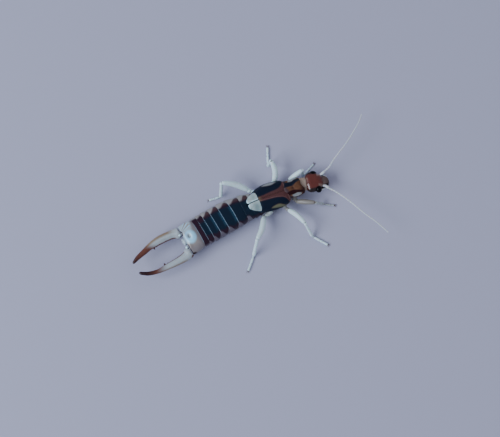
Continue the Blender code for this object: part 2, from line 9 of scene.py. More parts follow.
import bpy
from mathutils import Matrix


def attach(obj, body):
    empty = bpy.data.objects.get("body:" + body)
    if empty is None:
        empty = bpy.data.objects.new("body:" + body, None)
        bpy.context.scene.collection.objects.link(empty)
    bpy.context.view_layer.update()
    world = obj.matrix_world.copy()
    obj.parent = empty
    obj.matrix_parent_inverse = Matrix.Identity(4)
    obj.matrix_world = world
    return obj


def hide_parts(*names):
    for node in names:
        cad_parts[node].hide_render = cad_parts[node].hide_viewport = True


bl_info = {
    "name": "Shore earwig",
    "version": (1, 0, 0),
    "blender": (4, 5, 0),
    "location": "View3D > Sidebar > Earwig",
    "description": "Builds the pieces of a male shore earwig round its packed solids",
    "category": "Object",
}

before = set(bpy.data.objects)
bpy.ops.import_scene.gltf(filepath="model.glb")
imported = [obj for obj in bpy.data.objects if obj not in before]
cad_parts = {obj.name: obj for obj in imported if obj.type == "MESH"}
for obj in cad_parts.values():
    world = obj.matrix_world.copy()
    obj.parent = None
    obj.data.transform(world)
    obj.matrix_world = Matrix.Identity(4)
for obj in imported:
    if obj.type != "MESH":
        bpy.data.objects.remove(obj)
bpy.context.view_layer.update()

import math
import random

import bmesh
import bpy
from mathutils import Matrix, Vector

MM = 0.001
SIDES = ((1, "left"), (-1, "right"))


def linear(code):
    """An sRGB hex colour as linear red, green, blue and alpha."""
    channels = [int(code[i:i + 2], 16) / 255 for i in (1, 3, 5)]
    return (*[c / 12.92 if c <= 0.04045 else ((c + 0.055) / 1.055) ** 2.4 for c in channels], 1.0)


def shade(name, description, code):
    return bpy.props.FloatVectorProperty(
        name=name, description=description, default=linear(code), size=4, subtype="COLOR", min=0.0, max=1.0)


def length(name, description, millimetres, most=20.0):
    return bpy.props.FloatProperty(
        name=name, description=description, default=millimetres * MM, min=0.0, max=most * MM, precision=5,
        subtype="DISTANCE", unit="LENGTH")


class EARWIG_PG_sizes(bpy.types.PropertyGroup):
    plate_lip: length("Plate lip", "How far each back plate's rear rim stands over the next plate", 0.09, 0.3)
    plate_thickness: length("Plate thickness", "Thickness of the plates of the back and belly", 0.05, 0.2)
    wing_case_thickness: length("Wing case thickness", "Thickness of the two short wing cases", 0.09, 0.4)
    feeler_radius: length("Feeler radius", "Radius of a feeler near its base", 0.14, 0.3)
    tarsus_radius: length("Foot radius", "Radius of the foot's segments", 0.17, 0.3)
    claw_length: length("Claw length", "Length of each claw round its curve", 0.46, 1.0)
    bristle_length: length("Bristle length", "Length of the longest bristles on the legs", 0.3, 1.0)
    bristle_radius: length("Bristle radius", "Radius of a bristle at its root", 0.011, 0.05)
    facet_size: length("Eye facet", "Distance between the facets of the eye, coarser than life so they show", 0.06, 0.2)
    grain_size: length("Cuticle grain", "Size of the fine grain in the polished plates", 0.045, 0.5)


class EARWIG_PG_colours(bpy.types.PropertyGroup):
    membrane: shade("Membrane", "Soft skin between the plates", "#A7A09F")
    plate_navy: shade("Back plates", "Blue-black middle of the back plates", "#081A2C")
    plate_maroon: shade("Plate sides", "Maroon ends of the dark marks on the back plates", "#2E0F22")
    plate_brown: shade("Plate tips", "Browner, thinner ends of the dark marks on the left", "#54383A")
    # Painted shade: a grey-lilac darkening of the skin and plates on the animal's right side.
    right_side_shade: shade("Plate sides, right", "Grey-lilac skin of the right side", "#6A606B")
    # Painted sheen: a blue-grey reflection on the front of each back plate, just behind the rim before it.
    plate_front_sheen: shade("Plate fringes", "Blue-grey front of each back plate where it thins", "#254E66")
    # Partly the plates' pale rear margins and partly a painted highlight along them.
    plate_rim_and_highlight: shade("Plate rims", "Thin pale rear rims of the back plates", "#9DB6C8")
    case_navy: shade("Wing case bands", "Blue-black bands along the wing cases", "#0A1326")
    case_mahogany: shade("Wing case middle", "Mahogany stripe along the suture", "#583433")
    case_welt: shade("Wing case line", "Paler line along the inner edge of each dark band", "#7A5653")
    case_seam: shade("Wing case seam", "Darker middle of the mahogany stripe", "#4A2C27")
    case_tan: shade("Wing case rear", "Tan end of the stripe along the suture", "#6A5440")
    case_olive: shade("Wing case margin", "Thin olive outer margin of the wing cases", "#6C6A52")
    squama: shade("Wing tips", "Cream parts of the folded wings that show", "#B7C7C7")
    # Painted shade: a darker teal middle on the wing tips, strongest on the right one.
    squama_deep: shade("Wing tip, right", "Greener, thicker middle of the right wing tip", "#83989A")
    # The hinges' own white; on the wing tips, a painted highlight along their rims and beside the seam.
    condyle_white_and_tip_highlight: shade("Wing tip rims", "White rims of the wing tips", "#D2F4FC")
    shield: shade("Shield", "Tan middle of the shield behind the head", "#6A4632")
    shield_patch: shade("Shield patches", "Darker brown patches on the shield", "#3E2420")
    shield_rear: shade("Shield rear", "Mauve-brown rear of the shield, like the wing cases' fronts", "#4C383B")
    shield_margin: shade("Shield margin", "Thin whitish sides of the shield", "#8C8E90")
    head: shade("Head", "Red-brown of the head", "#66291F")
    # Also a painted shadow along the head's rear edge, where it meets the neck.
    head_dark: shade("Head rims", "Dark rims behind the eyes and at the jaws", "#1C0A0A")
    # Tan of the cheeks, feeler sockets, upper lip's base and bristles; at the head's rear corner, a painted reflection.
    tan_and_head_reflection: shade("Head tan", "Tan of the rear corner of the head and of the upper lip's base", "#86685C")
    neck: shade("Neck", "Grey-tan skin of the neck", "#AA9382")
    lip: shade("Upper lip", "Grey-brown upper lip", "#5E4A46")
    eye: shade("Eyes", "Black of the eyes", "#030408")
    leg: shade("Legs", "Pale cuticle of the legs", "#E2F8FF")
    # Partly the right foreleg's thin, see-through horn and partly painted shade, on that leg and on hips under the
    # body.
    leg_tawny_and_shade: shade("Tawny leg", "Thinner, greyer horn of the right foreleg and the right hips", "#8A837C")
    leg_joint: shade("Leg joints", "Brown at the joints of the legs and the claw tips", "#6A5648")
    feeler: shade("Feelers", "Whitish cuticle of the feelers and palps", "#D8DCE2")
    tail: shade("Tail plate", "Grey-cream last plate before the forceps", "#A0938C")
    # Painted reflection: the bright bluish ring round the dimple and the lit ridges of the creases.
    tail_ring_highlight: shade("Tail ring", "White ring and bulges on the last plate", "#A2DFFF")
    # The plate's own grey-mauve front, and painted shade over its right side.
    tail_mauve_and_shade: shade("Tail front", "Grey-mauve front of the last plate", "#837A7D")
    tail_dimple: shade("Tail dimple", "Bluish grey of the dimple in the ring", "#7F8E98")
    tail_frost: shade("Tail frost", "Whitish grey of the creased left of the last plate", "#B0BDC8")
    forceps: shade("Forceps", "Pale basal half of the forceps", "#B6BEC4")
    forceps_flank: shade("Forceps flanks", "Tan outer sides of the forceps", "#957F68")
    forceps_brown: shade("Forceps brown", "Red-brown outer half of the forceps", "#6A3C30")
    forceps_maroon: shade("Forceps tips", "Dark maroon tips and roots of the forceps", "#28090F")
    floor: shade("Floor", "Plain pale studio floor", "#B7B5CC")


# ---- Curves and the body's midline -------------------------------------------------------------

def smooth(table, place):
    """The value at `place` on a smooth curve through the table's (place, value) pairs."""
    if place <= table[0][0]:
        return table[0][1]
    if place >= table[-1][0]:
        return table[-1][1]
    i = max(k for k in range(len(table) - 1) if table[k][0] <= place)

    def slope(k):
        before, after = table[max(k - 1, 0)], table[min(k + 1, len(table) - 1)]
        return (after[1] - before[1]) / (after[0] - before[0])

    (x0, y0), (x1, y1) = table[i], table[i + 1]
    span = x1 - x0
    t = (place - x0) / span
    return (y0 * (1 + 2 * t) * (1 - t) ** 2 + slope(i) * span * t * (1 - t) ** 2
            + y1 * t * t * (3 - 2 * t) + slope(i + 1) * span * t * t * (t - 1))


def smooth_row(rows, place):
    """Every column of the rows at `place`, which is their first column."""
    return [smooth([(row[0], row[k]) for row in rows], place) for k in range(1, len(rows[0]))]


def hill(distance, width):
    """One at no distance, falling away smoothly over the width."""
    return math.exp(-(distance / width) ** 2)


def ramp(value, start, end):
    """From 0 at start to 1 at end, smoothly."""
    t = max(0.0, min(1.0, (value - start) / (end - start)))
    return t * t * (3 - 2 * t)


def spaced(start, end, count):
    return [start + (end - start) * k / (count - 1) for k in range(count)]


MIDLINE_START = Vector((-0.33, 2.38, 0.0))
HEADINGS = ((-9.0, 6.5), (-3.2, 6.5), (-0.4, 1.0), (2.2, -3.8), (7.4, -3.8), (8.1, -12.0), (11.5, -12.0))
MIDLINE_STEP = 0.05
MIDLINE_REACH = (-20.0, 13.0)


def walk_midline():
    """The midline's points and headings, one for each step from its rear end to its front end."""
    behind, ahead = (round(reach / MIDLINE_STEP) for reach in MIDLINE_REACH)
    table = {0: (MIDLINE_START, math.radians(smooth(HEADINGS, 0.0)))}
    for direction, last in ((-1, behind), (1, ahead)):
        point = MIDLINE_START.copy()
        for k in range(direction, last + direction, direction):
            heading = math.radians(smooth(HEADINGS, (k - 0.5 * direction) * MIDLINE_STEP))
            point = point + Vector((math.cos(heading), math.sin(heading), 0.0)) * MIDLINE_STEP * direction
            table[k] = (point, math.radians(smooth(HEADINGS, k * MIDLINE_STEP)))
    return table


MIDLINE = walk_midline()


def midline(place):
    """The midline's point on the floor at `place` and its heading in radians."""
    step = place / MIDLINE_STEP
    below = math.floor(step)
    (p0, h0), (p1, h1) = MIDLINE[below], MIDLINE[below + 1]
    share = step - below
    return p0.lerp(p1, share), h0 + (h1 - h0) * share


def on_body(place, across=0.0, height=0.0):
    point, heading = midline(place)
    return point + Vector((-math.sin(heading) * across, math.cos(heading) * across, height))


def along_body(place):
    """The directions forward and left at `place`."""
    heading = midline(place)[1]
    return Vector((math.cos(heading), math.sin(heading), 0.0)), Vector((-math.sin(heading), math.cos(heading), 0.0))


# ---- Rings, tubes and plates -------------------------------------------------------------------

UP = Vector((0.0, 0.0, 1.0))


class Ring:
    """A cross-section: an oval round a centre, with its own half width, top and bottom."""

    def __init__(self, place, centre, left, up, width, top, bottom, squareness=1.0, sway=0.0):
        self.place, self.centre, self.left, self.up = place, centre, left, up
        self.width, self.top, self.bottom, self.squareness, self.sway = width, top, bottom, squareness, sway

    def across(self, angle):
        return self.sway + self.width * self.eased(math.cos(angle))

    def eased(self, value):
        return math.copysign(abs(value) ** self.squareness, value)

    def point(self, angle, out=0.0):
        height = (self.top if math.sin(angle) > 0 else self.bottom) + out
        side = self.left * (self.width + out) * self.eased(math.cos(angle))
        return self.centre + side + self.up * height * self.eased(math.sin(angle))

    def outward(self, angle):
        return (self.left * math.cos(angle) / self.width + self.up * math.sin(angle) / self.top).normalized()


# How far the abdomen's middle lies to the left of the midline.
SWAYS = ((-10.3, 0.02), (-8.5, 0.1), (-6.0, 0.06), (-4.6, 0.03), (-3.4, 0.0), (-2.3, -0.1), (-1.0, -0.15), (-0.4, -0.2), (0.2, -0.3),
         (0.8, -0.34), (1.3, -0.34), (1.9, -0.1), (2.4, 0.0))


def body_ring(place, width, top, side, bottom, squareness=0.85):
    """A ring square to the midline. top, side and bottom are heights above the floor."""
    left, sway = along_body(place)[1], smooth(SWAYS, place)
    return Ring(place, on_body(place, sway, side), left, UP, width, top - side, side - bottom, squareness, sway)


def path_rings(points, widths, flatness=1.0, squareness=1.0):
    """Rings along a path, with a half width for each point and a height in proportion."""
    rings, place = [], 0.0
    for k, point in enumerate(points):
        ahead = points[min(k + 1, len(points) - 1)] - points[max(k - 1, 0)]
        left = UP.cross(ahead)
        if left.length < 0.03 * ahead.length:
            left = Vector((0.0, 1.0, 0.0))
        left.normalize()
        up = ahead.cross(left).normalized()
        if k:
            place += (point - points[k - 1]).length
        rings.append(Ring(place, point, left, up, widths[k], widths[k] * flatness, widths[k] * flatness, squareness))
    return rings


def on_route(route, share):
    """A point part of the way along a smooth route through the given points."""
    place = share * (len(route) - 1)
    return Vector([smooth([(k, point[i]) for k, point in enumerate(route)], place) for i in range(3)])


def lofted(bm, rings, sides):
    """Adds a closed skin: a sphere whose parallels take the rings' places.

    Returns each new vertex with its ring and its angle round it."""
    bands = len(rings) + 1
    placed = []
    for vert in bmesh.ops.create_uvsphere(bm, u_segments=sides, v_segments=bands, radius=1.0)["verts"]:
        band = round(math.acos(max(-1.0, min(1.0, vert.co.z))) / math.pi * bands)
        angle = math.atan2(vert.co.y, vert.co.x)
        ring = rings[max(0, min(len(rings) - 1, band - 1))]
        vert.co = ring.centre if band in (0, bands) else ring.point(angle)
        placed.append((vert, ring, angle))
    return placed


def sheeted(bm, rows, columns, place):
    """Adds an open sheet whose points are place(u, v), with u and v from 0 to 1.

    Returns each new vertex with its u and v."""
    placed = []
    for vert in bmesh.ops.create_grid(bm, x_segments=rows, y_segments=columns, size=1.0)["verts"]:
        u, v = (vert.co.x + 1) / 2, (vert.co.y + 1) / 2
        vert.co = place(u, v)
        placed.append((vert, u, v))
    return placed


def segment(bm, start, end, profile, sides=14, count=14, bow=Vector(), flatness=1.0):
    """Adds one round limb segment. profile holds (share of length, radius); bow moves its middle."""
    shares = spaced(0.0, 1.0, count)
    points = [start.lerp(end, share) + bow * math.sin(math.pi * share) for share in shares]
    widths = [max(smooth(profile, share), 0.004) for share in shares]
    return lofted(bm, path_rings(points, widths, flatness), sides)


def egg(bm, centre, ahead, radii, sides=20, bands=12):
    """Adds an egg shape along ahead, with its half length, half width and half height."""
    half, width, height = radii
    angles = [math.pi * (k + 1) / (bands + 1) for k in range(bands)]
    ahead = ahead.normalized()
    left = UP.cross(ahead).normalized()
    up = ahead.cross(left)
    rings = []
    for angle in angles:
        size = math.sin(angle)
        middle = centre - ahead * half * math.cos(angle)
        rings.append(Ring(-math.cos(angle), middle, left, up, width * size, height * size, height * size))
    placed = lofted(bm, rings, sides)
    for vert, ring, angle in placed:
        if (vert.co - ring.centre).length < 1e-9:
            vert.co = centre + ahead * half * (1 if ring.place > 0 else -1)
    return placed


def bristle(bm, root, direction, long, radius):
    """Adds one tapering bristle, its root sunk a little."""
    direction = direction.normalized()
    turn = UP.rotation_difference(direction).to_matrix().to_4x4()
    middle = Matrix.Translation(root + direction * long * 0.42)
    bmesh.ops.create_cone(bm, cap_ends=True, cap_tris=True, segments=4, radius1=radius, radius2=radius * 0.2,
                          depth=long, matrix=middle @ turn)


def marks(bm, *names):
    """Layers for the distances, in millimetres, that the materials draw their markings from."""
    return [bm.verts.layers.float.get(name) or bm.verts.layers.float.new(name) for name in names]


def finish_piece(name, bm, material, nodes=(), wall=0.0, rim=0.0, faces_up=0):
    """Makes a piece of a mesh drawn in millimetres, and has it ride on the body.

    wall is a thickness in metres for an open sheet that faces up (1) or down (-1), and rim rounds
    its edges."""
    bmesh.ops.remove_doubles(bm, verts=bm.verts, dist=1e-5)
    bmesh.ops.recalc_face_normals(bm, faces=bm.faces)
    if faces_up and sum(face.normal.z * face.calc_area() for face in bm.faces) * faces_up < 0:
        bmesh.ops.reverse_faces(bm, faces=bm.faces)
    bmesh.ops.scale(bm, vec=(MM, MM, MM), verts=bm.verts)
    mesh = bpy.data.meshes.new(name)
    bm.to_mesh(mesh)
    bm.free()
    mesh.materials.append(material)
    mesh.shade_smooth()
    piece = bpy.data.objects.new(name, mesh)
    bpy.context.scene.collection.objects.link(piece)
    if wall:
        shell = piece.modifiers.new("wall", "SOLIDIFY")
        shell.thickness, shell.offset = wall, -1.0
    if rim:
        edge = piece.modifiers.new("rim", "BEVEL")
        edge.width, edge.segments, edge.limit_method, edge.angle_limit = rim, 2, "ANGLE", math.radians(50)
    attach(piece, "root")
    if nodes:
        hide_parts(*nodes)
    return piece


# ---- Materials ---------------------------------------------------------------------------------

def node(tree, kind, settings=None, links=None):
    """Adds a node. A setting is one of its own properties or the value of a socket."""
    made = tree.nodes.new(kind)
    for key, value in (settings or {}).items():
        if isinstance(key, int) or key in made.inputs:
            made.inputs[key].default_value = value
        else:
            setattr(made, key, value)
    for key, source in (links or {}).items():
        tree.links.new(source, made.inputs[key])
    return made


def per(millimetres):
    """The texture scale that gives a pattern of that size."""
    return 1.0 / (millimetres * MM)


def cuticle(name, colour, layers=(), mottle=0.25, mottle_size=0.5, roughness=(0.25, 0.35), grain=0.045,
            depth=0.004, **shader_settings):
    """A horny material: its colour with mottling, then each layer over it where its mark allows.

    A layer is (mark, colour, softness, raggedness): the mark is a distance in millimetres from the
    layer's edge, more than 0 inside it. grain is the size of the fine relief and depth its height."""
    known = bpy.data.materials.get(name)
    if known:
        return known
    material = bpy.data.materials.new(name)
    material.use_nodes = True
    tree = material.node_tree
    shader = tree.nodes["Principled BSDF"]
    place = node(tree, "ShaderNodeTexCoord").outputs["Object"]
    clouds = node(tree, "ShaderNodeTexNoise", {"Scale": per(mottle_size), "Detail": 3.0}, {"Vector": place})
    fine = node(tree, "ShaderNodeTexNoise", {"Scale": per(grain), "Detail": 2.0}, {"Vector": place})
    wander = node(tree, "ShaderNodeTexNoise", {"Scale": per(0.28), "Detail": 2.0}, {"Vector": place})
    darker = (*[channel * 0.45 for channel in colour[:3]], 1.0)
    amount = node(tree, "ShaderNodeMapRange", {"From Min": 0.35, "From Max": 0.75, "To Max": mottle},
                  {"Value": clouds.outputs["Fac"]})
    blended = node(tree, "ShaderNodeMix", {"data_type": "RGBA", 6: colour, 7: darker},
                   {0: amount.outputs["Result"]}).outputs[2]
    for mark, layer_colour, softness, raggedness in layers:
        edge = node(tree, "ShaderNodeAttribute", {"attribute_name": mark}).outputs["Fac"]
        stray = node(tree, "ShaderNodeMath", {"operation": "MULTIPLY_ADD", 1: raggedness, 2: -0.5 * raggedness},
                     {0: wander.outputs["Fac"]})
        moved = node(tree, "ShaderNodeMath", {"operation": "ADD"}, {0: edge, 1: stray.outputs[0]})
        mask = node(tree, "ShaderNodeMapRange", {"interpolation_type": "SMOOTHSTEP", "From Min": -0.5 * softness,
                                                 "From Max": 0.5 * softness}, {"Value": moved.outputs[0]})
        blended = node(tree, "ShaderNodeMix", {"data_type": "RGBA", 7: layer_colour},
                       {0: mask.outputs["Result"], 6: blended}).outputs[2]
    tree.links.new(blended, shader.inputs["Base Color"])
    gloss = node(tree, "ShaderNodeMapRange", {"To Min": roughness[0], "To Max": roughness[1]},
                 {"Value": clouds.outputs["Fac"]})
    tree.links.new(gloss.outputs["Result"], shader.inputs["Roughness"])
    relief = node(tree, "ShaderNodeBump", {"Strength": 1.0, "Distance": depth * MM}, {"Height": fine.outputs["Fac"]})
    tree.links.new(relief.outputs["Normal"], shader.inputs["Normal"])
    shader.inputs["IOR"].default_value = 1.55
    shader.inputs["Subsurface Radius"].default_value = (1.0, 0.62, 0.42)
    shader.inputs["Subsurface Scale"].default_value = 0.35 * MM
    for key, value in shader_settings.items():
        shader.inputs[key.replace("_", " ")].default_value = value
    return material


def membrane_skin(colours):
    """Soft membrane, thin and slightly moist: light sinks in, so it looks waxy, and tan at the neck; its right side has
    painted shade.
    """
    layers = (("neck", colours.neck, 0.5, 0.2), ("joint", colours.shield_rear, 0.3, 0.1),
              ("shade", colours.right_side_shade, 0.8, 0.1))
    return cuticle("soft_membrane", colours.membrane, layers, mottle=0.3, mottle_size=0.4,
                   roughness=(0.32, 0.5), grain=0.09, depth=0.012, Subsurface_Weight=0.35)


def plate_cuticle(colours):
    """Polished horn: nearly black with a blue sheen in the middle, maroon where it thins out."""
    # The layer on each plate's front is a painted sheen, the rear rim layer a pale margin with a painted highlight, and
    # the right-side layer painted shade.
    layers = (("shade", colours.right_side_shade, 0.8, 0.1), ("fin", colours.plate_maroon, 0.3, 0.1),
              ("tip", colours.plate_brown, 0.6, 0.1), ("navy", colours.plate_navy, 0.5, 0.12),
              ("front_sheen", colours.plate_front_sheen, 0.7, 0.04), ("rim", colours.plate_rim_and_highlight, 0.06, 0.02))
    return cuticle("polished_back_plate", colours.membrane, layers, mottle=0.25, roughness=(0.24, 0.36),
                   Specular_IOR_Level=0.32, Specular_Tint=(0.7, 0.88, 1.0, 1.0), Coat_Weight=0.12,
                   Coat_Roughness=0.15, Coat_Tint=(0.8, 0.92, 1.0, 1.0), Subsurface_Weight=0.12)


def case_cuticle(colours):
    """Leathery wing case: satin, with soft-edged bands of pigment and a finely wrinkled face."""
    layers = (("seam", colours.case_seam, 0.22, 0.05), ("rearwards", colours.case_tan, 0.6, 0.2),
              ("welt", colours.case_welt, 0.14, 0.04), ("margin", colours.case_olive, 0.26, 0.1),
              ("thin", colours.shield_margin, 0.26, 0.06), ("band", colours.case_navy, 0.24, 0.05),
              ("keel", colours.case_navy, 0.2, 0.03))
    return cuticle("satin_wing_case", colours.case_mahogany, layers, mottle=0.3, mottle_size=0.3,
                   roughness=(0.4, 0.52), grain=0.05, depth=0.006, Specular_IOR_Level=0.22,
                   Specular_Tint=(0.75, 0.88, 1.0, 1.0), Subsurface_Weight=0.08)


def squama_cuticle(colours):
    """Folded wing tip: parchment-like, cream with a hint of green, smooth and slightly glossy."""
    # The deep layer is painted shade in the middle of each tip; the stripe and rim layers are painted highlights on its
    # edges.
    layers = (("deep", colours.squama_deep, 0.7, 0.2), ("fold", colours.case_olive, 0.16, 0.04),
              ("stripe", colours.condyle_white_and_tip_highlight, 0.1, 0.03), ("rim", colours.condyle_white_and_tip_highlight, 0.16, 0.03),
              ("seam", colours.plate_navy, 0.05, 0.02))
    return cuticle("parchment_wing_tip", colours.squama, layers, mottle=0.18, roughness=(0.28, 0.4),
                   depth=0.004, Subsurface_Weight=0.3, Coat_Weight=0.2, Coat_Roughness=0.2)


def shield_cuticle(colours):
    """Satin horn of the shield: tan and slightly see-through, whitish and thin at its sides."""
    layers = (("patch", colours.shield_patch, 0.5, 0.3), ("rear", colours.shield_rear, 0.4, 0.15), ("margin", colours.shield_margin, 0.14, 0.06),
              ("stripe", colours.case_navy, 0.2, 0.1), ("maroon", colours.forceps_maroon, 0.16, 0.1),
              ("front", colours.plate_maroon, 0.06, 0.02), ("rim", colours.plate_maroon, 0.04, 0.01))
    return cuticle("satin_shield", colours.shield, layers, mottle=0.35, mottle_size=0.35, roughness=(0.42, 0.55),
                   Specular_IOR_Level=0.16, Subsurface_Weight=0.12)


def head_cuticle(colours):
    """Highly polished horn: deep red-brown, like lacquer, darker at the rims, with a painted shadow at its rear edge.
    """
    layers = (("tan", colours.tan_and_head_reflection, 0.3, 0.25), ("dark", colours.head_dark, 0.3, 0.2))
    return cuticle("lacquered_head", colours.head, layers, mottle=0.4, mottle_size=0.6, roughness=(0.2, 0.28),
                   grain=0.03, depth=0.0012, Specular_IOR_Level=0.35, Coat_Weight=0.8, Coat_Roughness=0.13,
                   Coat_IOR=1.42, Subsurface_Weight=0.06)


def lip_cuticle(colours):
    """Thin horn of the mouthparts: grey-brown, satin, dark at its front rim."""
    layers = (("tan", colours.tan_and_head_reflection, 0.16, 0.1), ("dark", colours.head_dark, 0.2, 0.1))
    return cuticle("satin_lip", colours.lip, layers, mottle=0.4, mottle_size=0.3, roughness=(0.3, 0.42),
                   Specular_IOR_Level=0.3, Coat_Weight=0.08)


def eye_cuticle(colours, facet):
    """Clear cornea over black pigment: mirror-like, broken into facets by fine grooves."""
    known = bpy.data.materials.get("faceted_eye")
    if known:
        return known
    material = cuticle("faceted_eye", colours.eye, mottle=0.0, roughness=(0.22, 0.26), Specular_IOR_Level=0.12,
                       Coat_Weight=0.04, Coat_Roughness=0.08)
    tree = material.node_tree
    place = tree.nodes["Texture Coordinate"].outputs["Object"]
    facets = node(tree, "ShaderNodeTexVoronoi", {"feature": "F1", "Scale": 1.0 / facet}, {"Vector": place})
    domes = node(tree, "ShaderNodeBump", {"Strength": 0.6, "Distance": 0.15 * facet, "invert": True},
                 {"Height": facets.outputs["Distance"]})
    tree.links.new(domes.outputs["Normal"], tree.nodes["Principled BSDF"].inputs["Normal"])
    return material


def leg_cuticle(colours):
    """Thin pale horn of the legs: waxy and a little see-through, brown where it thickens at joints."""
    # The tawny layer is partly see-through horn and partly painted shade.
    layers = (("tawny_and_shade", colours.leg_tawny_and_shade, 0.4, 0.2), ("joint", colours.leg_joint, 0.14, 0.1),
              ("spot", colours.leg_joint, 0.14, 0.08))
    return cuticle("waxy_leg", colours.leg, layers, mottle=0.16, mottle_size=0.4, roughness=(0.3, 0.42),
                   depth=0.004, Subsurface_Weight=0.2)


def feeler_cuticle(colours):
    """Whitish horn of the feelers, dulled by a down too fine to see."""
    layers = (("waist", colours.leg_joint, 0.3, 0.02),)
    return cuticle("downy_feeler", colours.feeler, layers, mottle=0.12, roughness=(0.42, 0.55), grain=0.03,
                   depth=0.006, Subsurface_Weight=0.3)


def claw_horn(colours):
    """Hard horn of the claws: amber and glossy."""
    return cuticle("hard_claw", colours.leg_joint, mottle=0.3, roughness=(0.2, 0.3))


def bristle_horn(colours):
    """Bristles: fine amber hairs, glossy along their length."""
    return cuticle("amber_bristle", colours.tan_and_head_reflection, mottle=0.1, roughness=(0.3, 0.4), depth=0.0)


def tail_cuticle(colours):
    """Thick pale horn over muscle: grey-tan and glossy, with a painted bluish-white reflection over the ring and the
    crease ridges, and painted shade in the crease troughs and on its right side.
    """
    layers = (("mauve_and_shade", colours.tail_mauve_and_shade, 0.9, 0.3), ("frost", colours.tail_frost, 0.5, 0.15),
              ("crease", colours.tail, 0.14, 0.04), ("ring", colours.tail_ring_highlight, 0.4, 0.08),
              ("dimple", colours.tail_dimple, 0.2, 0.04), ("corner", colours.forceps_maroon, 0.2, 0.08),
              ("dark", colours.forceps_maroon, 0.08, 0.05))
    return cuticle("glossy_tail_plate", colours.tail, layers, mottle=0.2, roughness=(0.24, 0.36),
                   Subsurface_Weight=0.1, Coat_Weight=0.3, Coat_Roughness=0.2)


def condyle_cuticle(colours):
    """Smooth white bearing surfaces of the forceps' hinges, as glossy as a tooth."""
    return cuticle("enamel_condyle", colours.condyle_white_and_tip_highlight, mottle=0.05, roughness=(0.12, 0.2), Coat_Weight=0.5,
                   Subsurface_Weight=0.2)


def forceps_cuticle(colours):
    """Hard horn of the forceps: ivory at first, tanning through red-brown to a near-black point."""
    layers = (("flank", colours.forceps_flank, 0.36, 0.1), ("edge", colours.forceps_brown, 0.12, 0.05),
              ("brown", colours.forceps_brown, 2.2, 0.4), ("maroon", colours.forceps_maroon, 2.0, 0.5),
              ("dark", colours.forceps_maroon, 0.08, 0.05))
    return cuticle("polished_forceps", colours.forceps, layers, mottle=0.2, mottle_size=0.6,
                   roughness=(0.24, 0.34), Specular_IOR_Level=0.3, Coat_Weight=0.12, Coat_Roughness=0.15,
                   Subsurface_Weight=0.2)


# ---- Body skin and plates ----------------------------------------------------------------------

# Soft skin: place, half width, top, side and bottom above the floor.
SKIN_STATIONS = (
    (-10.45, 1.5, 2.05, 1.62, 1.2), (-10.0, 1.95, 2.32, 1.64, 0.92), (-8.8, 2.03, 2.4, 1.63, 0.72),
    (-7.0, 2.07, 2.48, 1.61, 0.66), (-5.0, 2.05, 2.54, 1.6, 0.62), (-3.0, 1.95, 2.43, 1.53, 0.64),
    (-1.6, 1.82, 2.22, 1.48, 0.68), (-0.6, 1.72, 1.92, 1.42, 0.72), (0.1, 1.58, 1.86, 1.38, 0.76),
    (0.6, 1.52, 1.84, 1.38, 0.78), (1.2, 1.4, 1.86, 1.4, 0.78), (1.8, 1.26, 1.98, 1.45, 0.74),
    (2.6, 1.28, 2.08, 1.45, 0.82), (3.6, 1.28, 2.08, 1.45, 0.74), (4.6, 1.26, 2.1, 1.47, 0.82),
    (5.05, 1.42, 2.18, 1.56, 0.94), (5.4, 1.38, 2.22, 1.62, 0.92), (6.2, 1.16, 2.35, 1.7, 0.9),
    (7.0, 1.1, 2.28, 1.7, 0.92), (7.5, 1.02, 2.22, 1.66, 1.0), (7.9, 0.96, 2.16, 1.62, 1.08),
    (8.25, 0.9, 2.08, 1.6, 1.12), (8.7, 0.6, 1.95, 1.6, 1.25),
)
ABDOMEN_STATIONS = (
    (-10.5, 2.28, 2.3, 1.65, 0.95), (-9.6, 2.24, 2.5, 1.64, 0.85), (-8.8, 2.17, 2.55, 1.63, 0.75),
    (-7.0, 2.22, 2.64, 1.62, 0.6), (-5.0, 2.2, 2.7, 1.6, 0.55), (-3.0, 2.15, 2.6, 1.54, 0.58),
    (-1.7, 1.98, 2.42, 1.49, 0.6), (-0.6, 1.87, 2.12, 1.43, 0.67), (0.1, 1.74, 2.04, 1.4, 0.7),
    (0.6, 1.68, 2.0, 1.4, 0.72), (1.3, 1.55, 1.98, 1.4, 0.74),
)
# Each back plate from the front: the place of its rear rim, how far that is bowed back at the sides,
# how far out its dark mark reaches at its corners, at its left and right lobes and as blue-black,
# where the left lobe turns brown, and how strong the painted highlight on its rim and the painted sheen on its front
# are.
TERGITES = (
    (0.55, 0.0, 1.3, 1.5, 1.9, 1.15, 1.4, 0.0, 0.0), (-0.25, 0.0, 1.15, 1.6, 1.98, 1.1, 1.3, 0.0, 0.0),
    (-1.48, 0.0, 1.1, 1.76, 2.12, 1.05, 1.1, 0.25, 0.0), (-2.94, 0.14, 1.3, 1.98, 2.08, 1.2, 1.5, 0.9, 0.2),
    (-4.57, 0.02, 1.34, 2.0, 2.18, 1.26, 1.7, 0.85, 1.0), (-5.88, 0.04, 1.32, 2.1, 2.18, 1.2, 1.5, 0.85, 1.0),
    (-7.02, 0.05, 1.4, 2.03, 2.18, 1.12, 1.5, 0.8, 0.9), (-7.86, 0.03, 1.7, 1.98, 2.14, 0.95, 2.0, 0.7, 0.5),
    (-8.58, 0.07, 1.95, 2.02, 2.04, -1.0, 9.0, 0.8, 0.0),
)
# The middle of the dark marks, out from the midline.
MARK_MIDDLES = ((-8.6, 0.04), (-6.0, 0.05), (-4.6, 0.04), (-3.3, -0.14), (-1.7, -0.24), (-0.3, -0.28), (0.8, -0.3))
